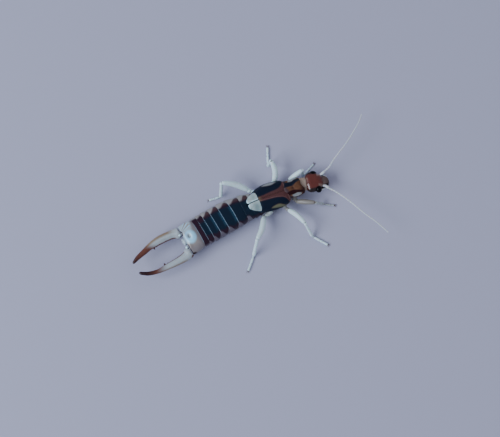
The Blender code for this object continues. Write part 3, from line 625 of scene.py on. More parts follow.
# Along each plate as a share of its length: how far its dark mark reaches towards the lobe's tip.
LOBES = {
    1: ((0.0, 0.35), (0.08, 0.8), (0.2, 1.0), (0.34, 0.86), (0.57, 0.42), (0.8, 0.12), (1.0, 0.0)),
    -1: ((0.0, 0.2), (0.1, 0.5), (0.25, 0.86), (0.42, 1.0), (0.56, 0.86), (0.78, 0.3), (1.0, 0.0)),
}
# The same for the three front plates, whose lobes are blunter and nearer their fronts.
FRONT_LOBES = {
    1: ((0.0, 0.8), (0.2, 1.0), (0.4, 0.95), (0.55, 0.5), (0.7, 0.1), (1.0, 0.0)),
    -1: ((0.0, 0.95), (0.2, 1.0), (0.36, 0.92), (0.5, 0.5), (0.64, 0.1), (1.0, 0.0)),
}
TERGITE_OVERLAP = 0.3


def make_body_skin(sizes, colours):
    """One skin from the neck to the last plate, folded at the neck and swelling between plates."""
    bm = bmesh.new()
    neck, joint, shade_mark = marks(bm, "neck", "joint", "shade")
    rings = [body_ring(place, *smooth_row(SKIN_STATIONS, place)) for place in spaced(8.7, -10.45, 220)]
    for vert, ring, angle in lofted(bm, rings, 64):
        place, out = ring.place, 0.0
        if place > 7.55:
            out += 0.025 * math.sin(place * 26.0)
        if place < 0.3:
            swell = min(abs(place - tergite[0] + 0.25) for tergite in TERGITES)
            out += 0.04 * hill(swell, 0.45) * abs(math.cos(angle)) ** 3
        vert.co += ring.outward(angle) * out
        vert[neck] = place - 7.1
        vert[joint] = 0.8 - abs(place - 5.1)
        # painted shade over the right side of the skin behind the wing cases
        vert[shade_mark] = min(-1.0 - ring.across(angle), (1.0 - place) * 0.5)
    finish_piece("body_skin", bm, membrane_skin(colours), ("thorax", "abdomen"))


def abdomen_ring(place):
    return body_ring(place, *smooth_row(ABDOMEN_STATIONS, place))


def curved_plate(bm, front, rear, angles, rows, columns, lift):
    """A plate bent round the abdomen from its front to its rear, lifted by lift(share backwards)."""
    rings = [abdomen_ring(front + (rear - front) * k / rows) for k in range(rows + 1)]

    def place(u, v):
        angle = math.radians(angles[0] + (angles[1] - angles[0]) * v)
        return rings[round(u * rows)].point(angle, lift(u))

    placed = []
    for vert, u, v in sheeted(bm, rows, columns, place):
        ring = rings[round(u * rows)]
        placed.append((vert, u, ring, ring.across(math.radians(angles[0] + (angles[1] - angles[0]) * v))))
    return placed


def make_tergites(sizes, colours):
    """The back plates, each with its rear rim lying over the next."""
    bm = bmesh.new()
    fin, navy, front_sheen, rim, tip, shade_mark = marks(bm, "fin", "navy", "front_sheen", "rim", "tip", "shade")
    lip = sizes.plate_lip / MM
    front, front_bow = 1.2, 0.0
    for end, bow, narrow, wide_left, wide_right, blue, brown, shine, glow in TERGITES:
        start = min(front + TERGITE_OVERLAP, 1.3)
        long = start - end

        def lift(u, long=long):
            shown = (u * long - TERGITE_OVERLAP) / (long - TERGITE_OVERLAP)
            return -0.035 + (lip + 0.035) * ramp(shown, -0.25, 1.05)

        for vert, u, ring, across in curved_plate(bm, start, end, (-24, 204), 12, 72, lift):
            middle = smooth(MARK_MIDDLES, ring.place)
            aside = ((across - middle) / 2) ** 2
            vert.co -= along_body(ring.place)[0] * bow * aside
            behind = front - front_bow * aside - ring.place + bow * aside
            shown = behind / (front - end + (bow - front_bow) * aside)
            side, wide = (1, wide_left) if across > middle else (-1, wide_right)
            out = abs(across - middle)
            lobes = FRONT_LOBES if end > -2.0 else LOBES
            reach = 1.0 if end > -0.5 and side < 0 else smooth(lobes[side], shown)
            vert[fin] = narrow + (wide - narrow) * reach - out
            vert[tip] = min(across - middle - brown, 1.2 * vert[fin])
            vert[navy] = blue + 0.4 * (vert[fin] + out - narrow) * (side < 0) - out
            # painted sheen on the plate's front, just behind the rim of the plate before it
            vert[front_sheen] = min(0.16 - behind, 1.0 - out, 0.9 - across) - 0.4 * (1 - glow)
            # the rim: a pale margin with a painted highlight, weaker where the plate shines less and fading towards
            # both sides
            vert[rim] = 0.045 - (ring.place - end) - 0.09 * (1 - shine) - 0.04 * ramp(across, 0.8, 2.0) - 0.05 * ramp(-across, 1.3, 1.9)
            # painted shade over the right side of the back plates
            vert[shade_mark] = -1.1 - across
        front, front_bow = end, bow
    finish_piece("tergites", bm, plate_cuticle(colours), ("abdomen",), sizes.plate_thickness,
                 0.018 * MM, 1)


def make_sternites(sizes, colours):
    """The belly plates and the three breastplates."""
    bm = bmesh.new()
    layers = marks(bm, "fin", "navy", "front_sheen", "rim", "tip", "shade")
    fin, _, _, rim, _, _ = layers
    front = 0.25
    for end, *_ in TERGITES[2:]:
        for vert, u, ring, across in curved_plate(
                bm, front + TERGITE_OVERLAP, end, (212, 328), 8, 36, lambda u: -0.02 + 0.06 * ramp(u, 0.1, 1.0)):
            for layer in layers:
                vert[layer] = -1.0
            vert[fin] = 0.45 * ring.width - abs(across) + 0.2 * (0.5 - u)
            # the same pale rim with its painted highlight, on the belly plates
            vert[rim] = 0.03 - (ring.place - end)
        front = end
    for start, end, width, low in ((4.85, 3.2, 0.95, 0.66), (3.05, 0.75, 1.0, 0.62), (7.35, 5.5, 0.62, 0.83)):

        def place(u, v, start=start, end=end, width=width, low=low):
            share = 2 * v - 1
            across = share * width * (0.75 + 0.25 * math.sin(math.pi * u))
            return on_body(start + (end - start) * u, across, low + 0.22 * share ** 4 + 0.05 * (2 * u - 1) ** 4)

        for vert, u, v in sheeted(bm, 14, 20, place):
            for layer in layers:
                vert[layer] = -1.0
    finish_piece("sternites", bm, plate_cuticle(colours), ("thorax", "abdomen"),
                 sizes.plate_thickness, 0.018 * MM, -1)


# ---- Shield, wing cases and wing tips ----------------------------------------------------------

SHIELD_REAR, SHIELD_FRONT = 4.82, 7.76
# Along the shield from its rear: half width on the left and on the right, height of its crown.
SHIELD_STATIONS = (
    (0.0, 0.72, 0.7, 2.72), (0.05, 0.98, 0.95, 2.81), (0.13, 1.14, 1.14, 2.84), (0.3, 1.2, 1.38, 2.76),
    (0.45, 1.2, 1.46, 2.72), (0.65, 1.2, 1.42, 2.74), (0.85, 1.14, 1.3, 2.68), (0.95, 1.08, 1.22, 2.56),
    (1.0, 1.0, 1.14, 2.42),
)
SHIELD_SKEW = 0.3
# The shield's dark stripes: along the body, the inner and outer edges.
SHIELD_STRIPES = {
    1: ((5.0, 0.3, 1.2), (5.4, 0.25, 1.02), (5.9, 0.22, 0.87), (6.28, 0.22, 0.86), (6.7, 0.44, 0.98), (7.26, 0.62, 0.98),
        (7.5, 0.7, 0.95)),
    -1: ((5.0, 0.6, 0.9), (5.5, 0.4, 0.93), (6.02, 0.38, 0.95), (6.5, 0.52, 0.91), (7.1, 0.76, 1.05), (7.65, 0.9, 1.06)),
}


def make_shield(sizes, colours):
    """The shield behind the head: a raised disc with two low bulges, thin flat sides and a groove."""
    bm = bmesh.new()
    patch, behind, margin, stripe, maroon, front, rim = marks(
        bm, "patch", "rear", "margin", "stripe", "maroon", "front", "rim")

    def spot(u, v):
        side = 2 * v - 1
        left, right, crown = smooth_row(SHIELD_STATIONS, u)
        across = side * (left if side > 0 else right)
        long = SHIELD_FRONT - SHIELD_REAR
        along = SHIELD_REAR + 0.4 * side * side * (1 - u) + long * u - SHIELD_SKEW * across * u
        along -= 0.45 * ramp(-side, 0.5, 1.1) * u + 0.37 * hill(across + 0.1, 0.7) * u ** 3
        return side, crown, across, along

    def place(u, v):
        side, crown, across, along = spot(u, v)
        edge = crown - 0.44 - 0.1 * ramp(u, 0.5, 1.0)
        height = edge + (crown - edge) * (1 - ramp(abs(side), 0.3, 0.96)) ** 0.8
        for out in (1, -1):
            height += 0.05 * hill(u - 0.76, 0.13) * hill(side - 0.36 * out, 0.24)
        height -= 0.03 * hill(side, 0.035) + 0.04 * hill(u - 0.48, 0.05) * (1 - abs(side))
        return on_body(along, across, height)

    for vert, u, v in sheeted(bm, 60, 68, place):
        side, _, across, along = spot(u, v)
        inner, outer = smooth_row(SHIELD_STRIPES[1 if side > 0 else -1], along)
        band = min(abs(across) - inner, outer - abs(across))
        vert[stripe], vert[maroon] = (band, -1.0) if side > 0 else (-1.0, band)
        vert[margin] = min(abs(across) - outer, (along - 5.75) * 0.5, (7.05 - along) * 0.5)
        vert[rim] = abs(side) - 0.94 if side < 0 else -1.0
        vert[behind] = 5.45 - along - 0.25 * ramp(-across, 0.3, -0.3)
        vert[patch] = max(0.12 - math.hypot((along - 6.05) * 0.8, across + 0.12),
                          0.3 - (1 - u) * 1.2 - 0.6 * ramp(across, -0.7, 0.2))
        vert[front] = 0.05 - (1 - u) * (SHIELD_FRONT - SHIELD_REAR)
    finish_piece("shield", bm, shield_cuticle(colours), ("prothorax",), 0.07 * MM, 0.02 * MM, 1)


# Along each wing case as a share of its length from its rear: half width and rise of its crown.
CASE_SPAN = {1: (0.98, 5.2), -1: (1.04, 5.36)}
CASE_CROWN, CASE_EDGE = 2.92, 1.9
CASE_OUTLINE = {
    1: ((0.0, 1.4, -0.05), (0.05, 1.5, 0.0), (0.15, 1.7, 0.0), (0.3, 1.88, 0.0), (0.45, 1.92, 0.0), (0.64, 1.86, 0.0),
        (0.77, 1.78, -0.03), (0.9, 1.66, -0.12), (0.97, 1.48, -0.22), (1.0, 1.3, -0.3)),
    -1: ((0.0, 1.7, -0.05), (0.06, 1.8, 0.0), (0.25, 2.02, 0.0), (0.5, 2.1, 0.0), (0.65, 2.08, 0.0), (0.75, 2.02, -0.03),
         (0.88, 1.9, -0.12), (0.96, 1.72, -0.24), (1.0, 1.5, -0.32)),
}
# Along the body: the inner and outer edges of the dark band.
CASE_BANDS = {
    1: ((0.95, 0.31, 1.9), (1.5, 0.33, 1.78), (2.25, 0.37, 1.56), (2.8, 0.43, 1.42), (3.5, 0.46, 1.36), (4.15, 0.54, 1.52),
        (4.6, 0.76, 1.64), (4.82, 1.0, 1.58), (4.98, 1.3, 1.45)),
    -1: ((1.05, 0.3, 2.0), (1.5, 0.38, 1.95), (2.3, 0.45, 1.76), (2.6, 0.47, 1.62), (3.0, 0.5, 1.53), (3.6, 0.58, 1.52),
         (4.06, 0.7, 1.72), (4.4, 0.8, 1.9), (4.7, 1.0, 1.9), (4.92, 1.33, 1.84), (5.08, 1.7, 1.76)),
}

# Along the body: how far out the thin margin outside the dark band reaches, inside a dark rim.
CASE_MARGINS = {
    1: ((1.9, 1.5), (2.2, 1.68), (2.9, 1.84), (3.6, 1.76), (3.96, 1.63), (4.3, 1.5)),
    -1: ((1.9, 1.6), (2.38, 1.74), (2.94, 1.86), (3.5, 1.96), (4.24, 2.06), (4.6, 2.2)),
}


def plate_half(bm, side, rear, front, outline, crown, edge, rows, columns, seam=0.012, trim=lambda u, v: 0.0):
    """One half of a pair of plates over the back, curved down at its outer side."""

    def place(u, v):
        width, rise = smooth_row(outline, u)
        turn = v * math.pi / 2
        across = seam + (width - seam) * max(math.sin(turn), 0.0) ** 0.85
        fall = (crown + rise - edge) * max(1 - math.cos(turn), 0.0) ** 0.9
        return on_body(rear + (front - rear) * u + trim(u, v), side * across, crown + rise - fall)

    placed = []
    for vert, u, v in sheeted(bm, rows, columns, place):
        width = smooth_row(outline, u)[0]
        placed.append((vert, u, v, seam + (width - seam) * max(math.sin(v * math.pi / 2), 0.0) ** 0.85))
    return placed


def make_wing_cases(sizes, colours):
    """The two short wing cases, each with its dark band, thin margin and front shoulder."""
    for side, word in SIDES:
        bm = bmesh.new()
        band, margin, thin, seam, rearwards, welt, keel = marks(
            bm, "band", "margin", "thin", "seam", "rearwards", "welt", "keel")
        rear, front = CASE_SPAN[side]
        placed = plate_half(bm, side, rear, front, CASE_OUTLINE[side], CASE_CROWN, CASE_EDGE, 60, 44,
                            trim=lambda u, v: -0.55 * v ** 3 * (1 - u) ** 3 - 0.12 * (1 - v) ** 2 * u - 0.1 * v ** 4 * u)
        for vert, u, v, across in placed:
            along = rear + (front - rear) * u
            inner, outer = smooth_row(CASE_BANDS[side], along)
            rim = smooth(CASE_MARGINS[side], along)
            vert.co.z += 0.03 * hill(v - 0.5, 0.25) - 0.012 * hill(v, 0.05)
            vert[band] = min(across - inner, outer - across)
            vert[margin], vert[thin] = (-1.0, across - outer) if side > 0 else (across - outer, -1.0)
            vert[seam] = min(0.04 - across, (4.6 - along) * 0.3)
            vert[rearwards] = 1.35 - along
            vert[welt] = max((0.03 if side < 0 else -0.03) - abs(across - inner + 0.09), along - front + 0.16)
            vert[keel] = across - rim
        finish_piece(f"wing_case_{word}", bm, case_cuticle(colours), (f"elytron_{word}",),
                     sizes.wing_case_thickness, 0.03 * MM, 1)


TIP_SPAN = {1: (-0.66, 1.25), -1: (-0.66, 1.25)}
TIP_CROWN, TIP_EDGE = 2.8, 2.1
TIP_OUTLINE = {
    1: ((0.0, 0.34, -0.3), (0.015, 0.5, -0.2), (0.06, 0.66, -0.12), (0.14, 0.82, -0.05), (0.29, 1.02, -0.02), (0.53, 1.19, 0.0),
        (0.85, 1.26, 0.0), (1.0, 1.3, 0.0)),
    -1: ((0.0, 0.36, -0.3), (0.015, 0.55, -0.2), (0.1, 0.8, -0.09), (0.3, 1.13, -0.02), (0.57, 1.42, 0.0), (0.85, 1.62, 0.0),
         (1.0, 1.64, 0.0)),
}


def make_wing_tips(sizes, colours):
    """The folded wings' cream tips, convex and rounded behind, meeting along a dark seam."""
    for side, word in SIDES:
        bm = bmesh.new()
        deep, fold, stripe, seam, rim = marks(bm, "deep", "fold", "stripe", "seam", "rim")
        rear, front = TIP_SPAN[side]
        placed = plate_half(bm, side, rear, front, TIP_OUTLINE[side], TIP_CROWN, TIP_EDGE, 48, 34,
                            trim=lambda u, v: 0.26 * hill(v, 0.14) * (1 - u) ** 4)
        for vert, u, v, across in placed:
            behind = u * (front - rear)
            crease = 0.5 * across + 0.3 * behind - 0.46
            vert.co.z += 0.05 * hill(v - 0.42, 0.3) - 0.02 * hill(crease, 0.06) - 0.03 * hill(across, 0.06)
            vert[fold] = max(-0.02 - abs(crease), -0.03 - abs(behind - 0.27)) - 0.1 * ramp(behind, 1.0, 1.6)
            # painted shade in the middle of the tip, weaker on the left
            vert[deep] = 0.45 - math.hypot(behind - 1.1, 0.8 * (across - (0.6 if side > 0 else 0.9))) - 0.3 * (side > 0)
            # painted highlight along the left tip's edge beside the seam
            vert[stripe] = min(0.06 - abs(across - 0.15), behind - 0.6) if side > 0 else -1.0
            vert[seam] = 0.06 - across
            # painted highlight round the rear and outer edges
            vert[rim] = max(0.15 - behind, v - 0.97)
        finish_piece(f"wing_tip_{word}", bm, squama_cuticle(colours), (f"wing_{word}",),
                     0.06 * MM, 0.025 * MM, 1)


# ---- Head --------------------------------------------------------------------------------------

HEAD_REAR, HEAD_HEIGHT, HEAD_ROLL = 8.3, 1.62, -7.0
HEAD_STATIONS = (
    (-0.2, 0.6, 0.28, 0.3), (-0.185, 0.84, 0.36, 0.38), (-0.13, 1.02, 0.46, 0.46), (-0.04, 1.15, 0.54, 0.51),
    (0.1, 1.29, 0.625, 0.56), (0.28, 1.38, 0.7, 0.6), (0.5, 1.42, 0.75, 0.63), (0.8, 1.42, 0.77, 0.65), (1.15, 1.37, 0.78, 0.66), (1.5, 1.2, 0.72, 0.62),
    (1.75, 1.02, 0.64, 0.58), (2.0, 0.86, 0.53, 0.53), (2.12, 0.72, 0.42, 0.45), (2.2, 0.54, 0.3, 0.34),
    (2.24, 0.3, 0.16, 0.2),
)
HEAD_SPAN = (-0.2, 2.24)
# Each eye: its place along, out to its side and up on the head, and its half length, width and height.
EYE_PLACES = {1: (1.08, 1.18, 0.16), -1: (1.42, 1.22, 0.26)}
EYE_RADII = {1: (0.53, 0.42, 0.44), -1: (0.45, 0.5, 0.48)}
SOCKET_PLACES = {1: (2.08, 0.8, 0.06), -1: (2.12, 0.84, 0.1)}


def head_axes():
    forward, level = along_body(HEAD_REAR)
    roll = math.radians(HEAD_ROLL)
    left = level * math.cos(roll) + UP * math.sin(roll)
    return forward, left, forward.cross(left)


def on_head(along, across, above):
    forward, left, up = head_axes()
    return on_body(HEAD_REAR, 0.0, HEAD_HEIGHT) + forward * along + left * across + up * above


def head_ring(stations, along, squareness=0.8):
    _, left, up = head_axes()
    width, top, bottom = smooth_row(stations, along)
    return Ring(along, on_head(along, 0.0, 0.0), left, up, width, top, bottom, squareness)


def make_head(sizes, colours):
    """The head capsule: polished, with its forked seam, eye rims and raised feeler sockets."""
    bm = bmesh.new()
    tan, dark = marks(bm, "tan", "dark")
    rear, front = HEAD_SPAN
    places = [rear + (front - rear) * (1 - math.cos(math.pi * share)) / 2 for share in spaced(0.0, 1.0, 96)]
    eyes = [on_head(along, side * across, above) for side, (along, across, above) in EYE_PLACES.items()]
    sockets = [on_head(along, side * across, above) for side, (along, across, above) in SOCKET_PLACES.items()]
    for vert, ring, angle in lofted(bm, [head_ring(HEAD_STATIONS, along) for along in places], 112):
        along, across = ring.place, ring.across(angle)
        out = 0.0
        for eye in eyes:
            away = (vert.co - eye).length
            out += 0.03 * hill(away - 0.5, 0.06) - 0.04 * hill(away - 0.43, 0.04)
        for socket in sockets:
            away = (vert.co - socket).length
            out += 0.06 * hill(away - 0.2, 0.08)
        out += 0.13 * hill(along - 0.6, 0.4) * ramp(across, 1.0, 1.35)
        if math.sin(angle) > 0:
            stem = hill(across, 0.04) * (1 - ramp(along, 1.0, 1.15))
            fork = hill(abs(across) - (along - 1.05) * 0.75, 0.04) * ramp(along, 1.0, 1.1) * (1 - ramp(along, 1.6, 1.8))
            out -= 0.012 * max(stem, fork)
            out += 0.02 * hill(along - 1.75, 0.22) * hill(across, 0.4)
        vert.co += ring.outward(angle) * out
        nearest = min((vert.co - eye).length for eye in eyes)
        behind = (abs(across) - (1.06 if across > 0 else 0.98)) if along < 1.4 else -1.0
        below = 0.2 if math.sin(angle) < -0.5 else -1.0
        # the darkening at the very rear edge is a painted shadow where the head meets the neck
        vert[dark] = max(behind, 0.5 - nearest, below, -0.1 - along)
        cheek = min(-0.56 - across, along - 1.5, 0.9 * math.sin(angle)) if across < 0 else across - 0.66
        # the spot near the rear corner is a painted reflection; the cheeks and feeler sockets are tan
        vert[tan] = max(0.13 - math.hypot((along - 0.1) * 1.3, (across - 0.5) * 0.7), cheek if along > 1.5 else -1.0,
                        0.24 - min((vert.co - socket).length for socket in sockets))
    finish_piece("head_capsule", bm, head_cuticle(colours), ("head",))


# The mouthparts are turned a little to the right: how far off the head's middle they lie.
LIP_TURN = ((1.4, 0.0), (2.0, -0.02), (2.4, -0.08), (2.87, -0.21), (3.12, -0.3))


def make_mouthparts(sizes, colours):
    """The upper lip over the jaws, the jaws with their dark roots, and the chin under them."""
    bm = bmesh.new()
    tan, dark = marks(bm, "tan", "dark")
    forward, left, up = head_axes()

    def flap(rows, count, squareness):
        rings = []
        for along in spaced(rows[0][0], rows[-1][0], count):
            width, top, low = smooth_row(rows, along)
            rings.append(Ring(along, on_head(along, smooth(LIP_TURN, along), (top + low) / 2), left, up, width,
                              (top - low) / 2, (top - low) / 2, squareness))
        return lofted(bm, rings, 40)

    # Forward along the head: half width, top and underside.
    lip = ((1.95, 0.5, 0.3, -0.1), (2.1, 0.6, 0.33, -0.14), (2.3, 0.66, 0.33, -0.14), (2.6, 0.66, 0.3, -0.1), (2.84, 0.58, 0.23, -0.06),
           (2.98, 0.46, 0.15, -0.03), (3.06, 0.3, 0.09, -0.02), (3.1, 0.12, 0.04, 0.0))
    chin = ((1.5, 0.5, -0.4, -0.68), (1.9, 0.56, -0.36, -0.7), (2.4, 0.5, -0.34, -0.62), (2.75, 0.36, -0.34, -0.54),
            (2.85, 0.2, -0.36, -0.48))
    for vert, ring, angle in flap(lip, 40, 0.72):
        across = ring.across(angle)
        vert.co += up * (0.03 * hill(across, 0.2) - 0.02 * hill(ring.place - 2.96, 0.05) * hill(across, 0.08)
                         - 0.03 * hill(ring.place - 2.4, 0.04)) * max(math.sin(angle), 0.0)
        vert[tan] = -1.0
        vert[dark] = max(ring.place - 3.04, 0.5 * (ring.place - 2.3) - across - 0.62 if ring.place > 2.35 else -1.0)
    for vert, ring, angle in flap(chin, 14, 0.9):
        vert[tan], vert[dark] = 0.02, -1.0
    for side, _ in SIDES:
        route = [on_head(along, side * across, above) for along, across, above in (
            (1.7, 0.66, -0.3), (2.1, 0.66, -0.3), (2.5, 0.56 - 0.12 * side, -0.26), (2.8, 0.4 - 0.28 * side, -0.24),
            (3.0, 0.16 - 0.38 * side, -0.22))]
        shares = spaced(0.0, 1.0, 20)
        widths = [smooth(((0.0, 0.28), (0.3, 0.28), (0.7, 0.2), (0.92, 0.11), (1.0, 0.03)), share) for share in shares]
        rings = path_rings([on_route(route, share) for share in shares], widths, 0.75)
        for vert, ring, angle in lofted(bm, rings, 18):
            vert[tan], vert[dark] = -1.0, ring.place - 0.75
        out = 0.88 - 0.14 * side
        for vert, _, _ in egg(bm, on_head(2.02, side * out, -0.16), forward - left * side * 0.2, (0.4, 0.13, 0.16), 20, 14):
            vert[tan], vert[dark] = -1.0, 0.1
    finish_piece("mouthparts", bm, lip_cuticle(colours), ("head",))


def make_eyes(sizes, colours):
    for side, word in SIDES:
        bm = bmesh.new()
        forward, left, _ = head_axes()
        along, across, above = EYE_PLACES[side]
        turned = (forward - left * side * 0.22).normalized()
        egg(bm, on_head(along, side * across, above), turned, EYE_RADII[side], 48, 34)
        finish_piece(f"faceted_eye_{word}", bm, eye_cuticle(colours, sizes.facet_size), (f"eye_{word}",))


# Feeler routes beyond their sockets in plan and height.
FEELERS = {
    "left": ((10.59, 2.3, 1.9), (11.77, 2.7, 2.1), (12.58, 3.25, 2.25), (14.06, 4.06, 2.5), (15.61, 4.93, 2.65),
             (17.94, 6.57, 2.7), (19.0, 7.64, 2.6)),
    "right": ((10.15, 0.48, 1.85), (10.51, -0.09, 1.95), (11.08, -0.85, 2.1), (11.81, -2.06, 2.35),
              (12.61, -3.63, 2.6), (13.39, -5.28, 2.7), (14.43, -7.13, 2.7), (15.4, -9.22, 2.6)),
}
FEELER_SEGMENTS = 27


def evenly(route, steps=240):
    """The route's points as a function of the share of its length."""
    points = [on_route(route, k / steps) for k in range(steps + 1)]
    runs = [0.0]
    for one, two in zip(points, points[1:]):
        runs.append(runs[-1] + (two - one).length)

    def place(share):
        run = max(0.0, min(share, 0.9999)) * runs[-1]
        k = max(i for i in range(steps) if runs[i] <= run)
        return points[k].lerp(points[k + 1], (run - runs[k]) / (runs[k + 1] - runs[k]))

    return place


def make_feelers(sizes, colours):
    """Each feeler: a long first segment, a short second and a row of slim ones, tapering."""
    thick = sizes.feeler_radius / MM
    for side, word in SIDES:
        bm = bmesh.new()
        waist, = marks(bm, "waist")
        along, across, above = SOCKET_PLACES[side]
        socket = on_head(along - 0.06, side * across, above)
        route = evenly([socket] + [Vector(point) for point in FEELERS[word]])
        share = 0.0
        for k in range(FEELER_SEGMENTS):
            span = 0.09 if k == 0 else 0.018 if k == 1 else 0.892 / (FEELER_SEGMENTS - 2)
            size = thick * (1.4 if k == 0 else 1.0 if k == 1 else 0.98 - 0.34 * share)
            shares = spaced(share, share + span * 1.02, 9)
            bead = ((0.0, 0.55), (0.1, 0.78), (0.35, 0.92), (0.85, 1.0), (0.96, 0.82), (1.0, 0.6))
            widths = [size * smooth(bead, (place - share) / (span * 1.02)) for place in shares]
            for vert, ring, angle in lofted(bm, path_rings([route(s) for s in shares], widths), 14):
                vert[waist] = -0.12
            share += span
        finish_piece(f"feeler_{word}", bm, feeler_cuticle(colours), (f"antenna_{word}",))


def make_palps(sizes, colours):
    """The jointed palps that hang under the cheeks, and the shorter pair between them."""
    for side, word in SIDES:
        bm = bmesh.new()
        waist, = marks(bm, "waist")
        long = ((1.25, 0.6, -0.4), (1.55, 0.82, -0.88), (2.1, 0.98, -0.98), (2.6, 0.88, -0.92), (2.95, 0.6, -0.84))
        short = ((1.9, 0.3, -0.6), (2.2, 0.42, -0.78), (2.5, 0.42, -0.82), (2.75, 0.3, -0.78))
        for places, joints, size in ((long, 5, 0.16), (short, 3, 0.12)):
            route = [on_head(along, side * across, above) for along, across, above in places]
            for k in range(joints):
                shares = spaced(k / joints, (k + 1.06) / joints, 10)
                bead = ((0.0, 0.5), (0.15, 0.8), (0.7, 1.0), (0.92, 0.9), (1.0, 0.55))
                widths = [size * (1 - 0.05 * k) * smooth(bead, (s * joints - k) / 1.06) for s in shares]
                for vert, ring, angle in lofted(bm, path_rings([on_route(route, min(s, 1.0)) for s in shares], widths), 14):
                    vert[waist] = -0.12
        finish_piece(f"mouth_palp_{word}", bm, feeler_cuticle(colours), (f"palp_{word}",))


# ---- Legs --------------------------------------------------------------------------------------

# Each leg: its hip along and across the body, its trochanter in plan, its knee, its ankle and toe
# in plan, and its thickness.
LEGS = {
    "foreleg_left": ((5.9, 0.55), (5.87, 3.4), (8.05, 3.78, 2.35), (8.0, 3.28), (10.08, 4.22), 0.95),
    "foreleg_right": ((5.9, -0.55), (5.5, 0.25), (7.85, -1.15, 2.0), (8.98, -1.6), (10.33, -2.4), 0.95),
    "midleg_left": ((3.6, 0.75), (3.78, 4.0), (4.52, 6.69, 2.9), (4.05, 6.6), (5.08, 9.1), 1.05),
    "midleg_right": ((3.6, -0.75), (4.0, -0.35), (5.3, -3.27, 2.3), (5.63, -5.12), (7.15, -7.15), 0.95),
    "hindleg_left": ((1.55, 0.8), (0.15, 4.28), (-3.11, 6.64, 2.8), (-3.87, 5.28), (-5.6, 5.49), 1.1),
    "hindleg_right": ((2.3, -1.86), (0.48, 0.09), (-1.75, -2.65, 2.5), (-3.02, -4.3), (-4.6, -5.95), 1.1),
}
# How far the middle of a thigh bends away from a straight line.
FEMUR_BOWS = {"midleg_left": (0.36, -0.13, 0.0), "hindleg_left": (0.12, 0.3, 0.0), "midleg_right": (0.14, 0.1, 0.0),
              "hindleg_right": (0.22, -0.1, 0.0)}
# How far the middle of a hip bends away from a straight line.
HIP_BOWS = {"hindleg_right": (0.1, -0.08, -0.1), "hindleg_left": (0.0, 0.0, -0.2)}
# Slimmer hips, as a share of the leg's thickness.
HIP_SIZES = {"hindleg_right": 0.72, "midleg_right": 0.75, "hindleg_left": 0.8}
FOOT_SIZES = {"foreleg_left": 0.75, "foreleg_right": 0.7}
# Hips that are tawny rather than pale: painted shade where they lie under the body.
SHADED_HIPS = {"midleg_right": 0.13, "foreleg_left": 0.25, "hindleg_right": 0.05}
# How far the dark spot on a knee reaches.
KNEE_SPOTS = {"foreleg_right": 0.16, "foreleg_left": 0.08, "midleg_right": 0.08}
HIP_HEIGHT, TROCHANTER_HEIGHT, ANKLE_HEIGHT = 1.25, 1.0, 0.36
TARSOMERES = ((0.0, 0.47), (0.44, 0.62), (0.58, 1.0))


def foot_radius(sizes, name):
    return sizes.tarsus_radius / MM * FOOT_SIZES.get(name, 1.0)


def leg_points(name, foot):
    hip, trochanter, knee, ankle, toe, thickness = LEGS[name]
    return (on_body(*hip, HIP_HEIGHT), Vector((*trochanter, TROCHANTER_HEIGHT)), Vector(knee),
            Vector((*ankle, ANKLE_HEIGHT)), Vector((*toe, foot)), thickness)


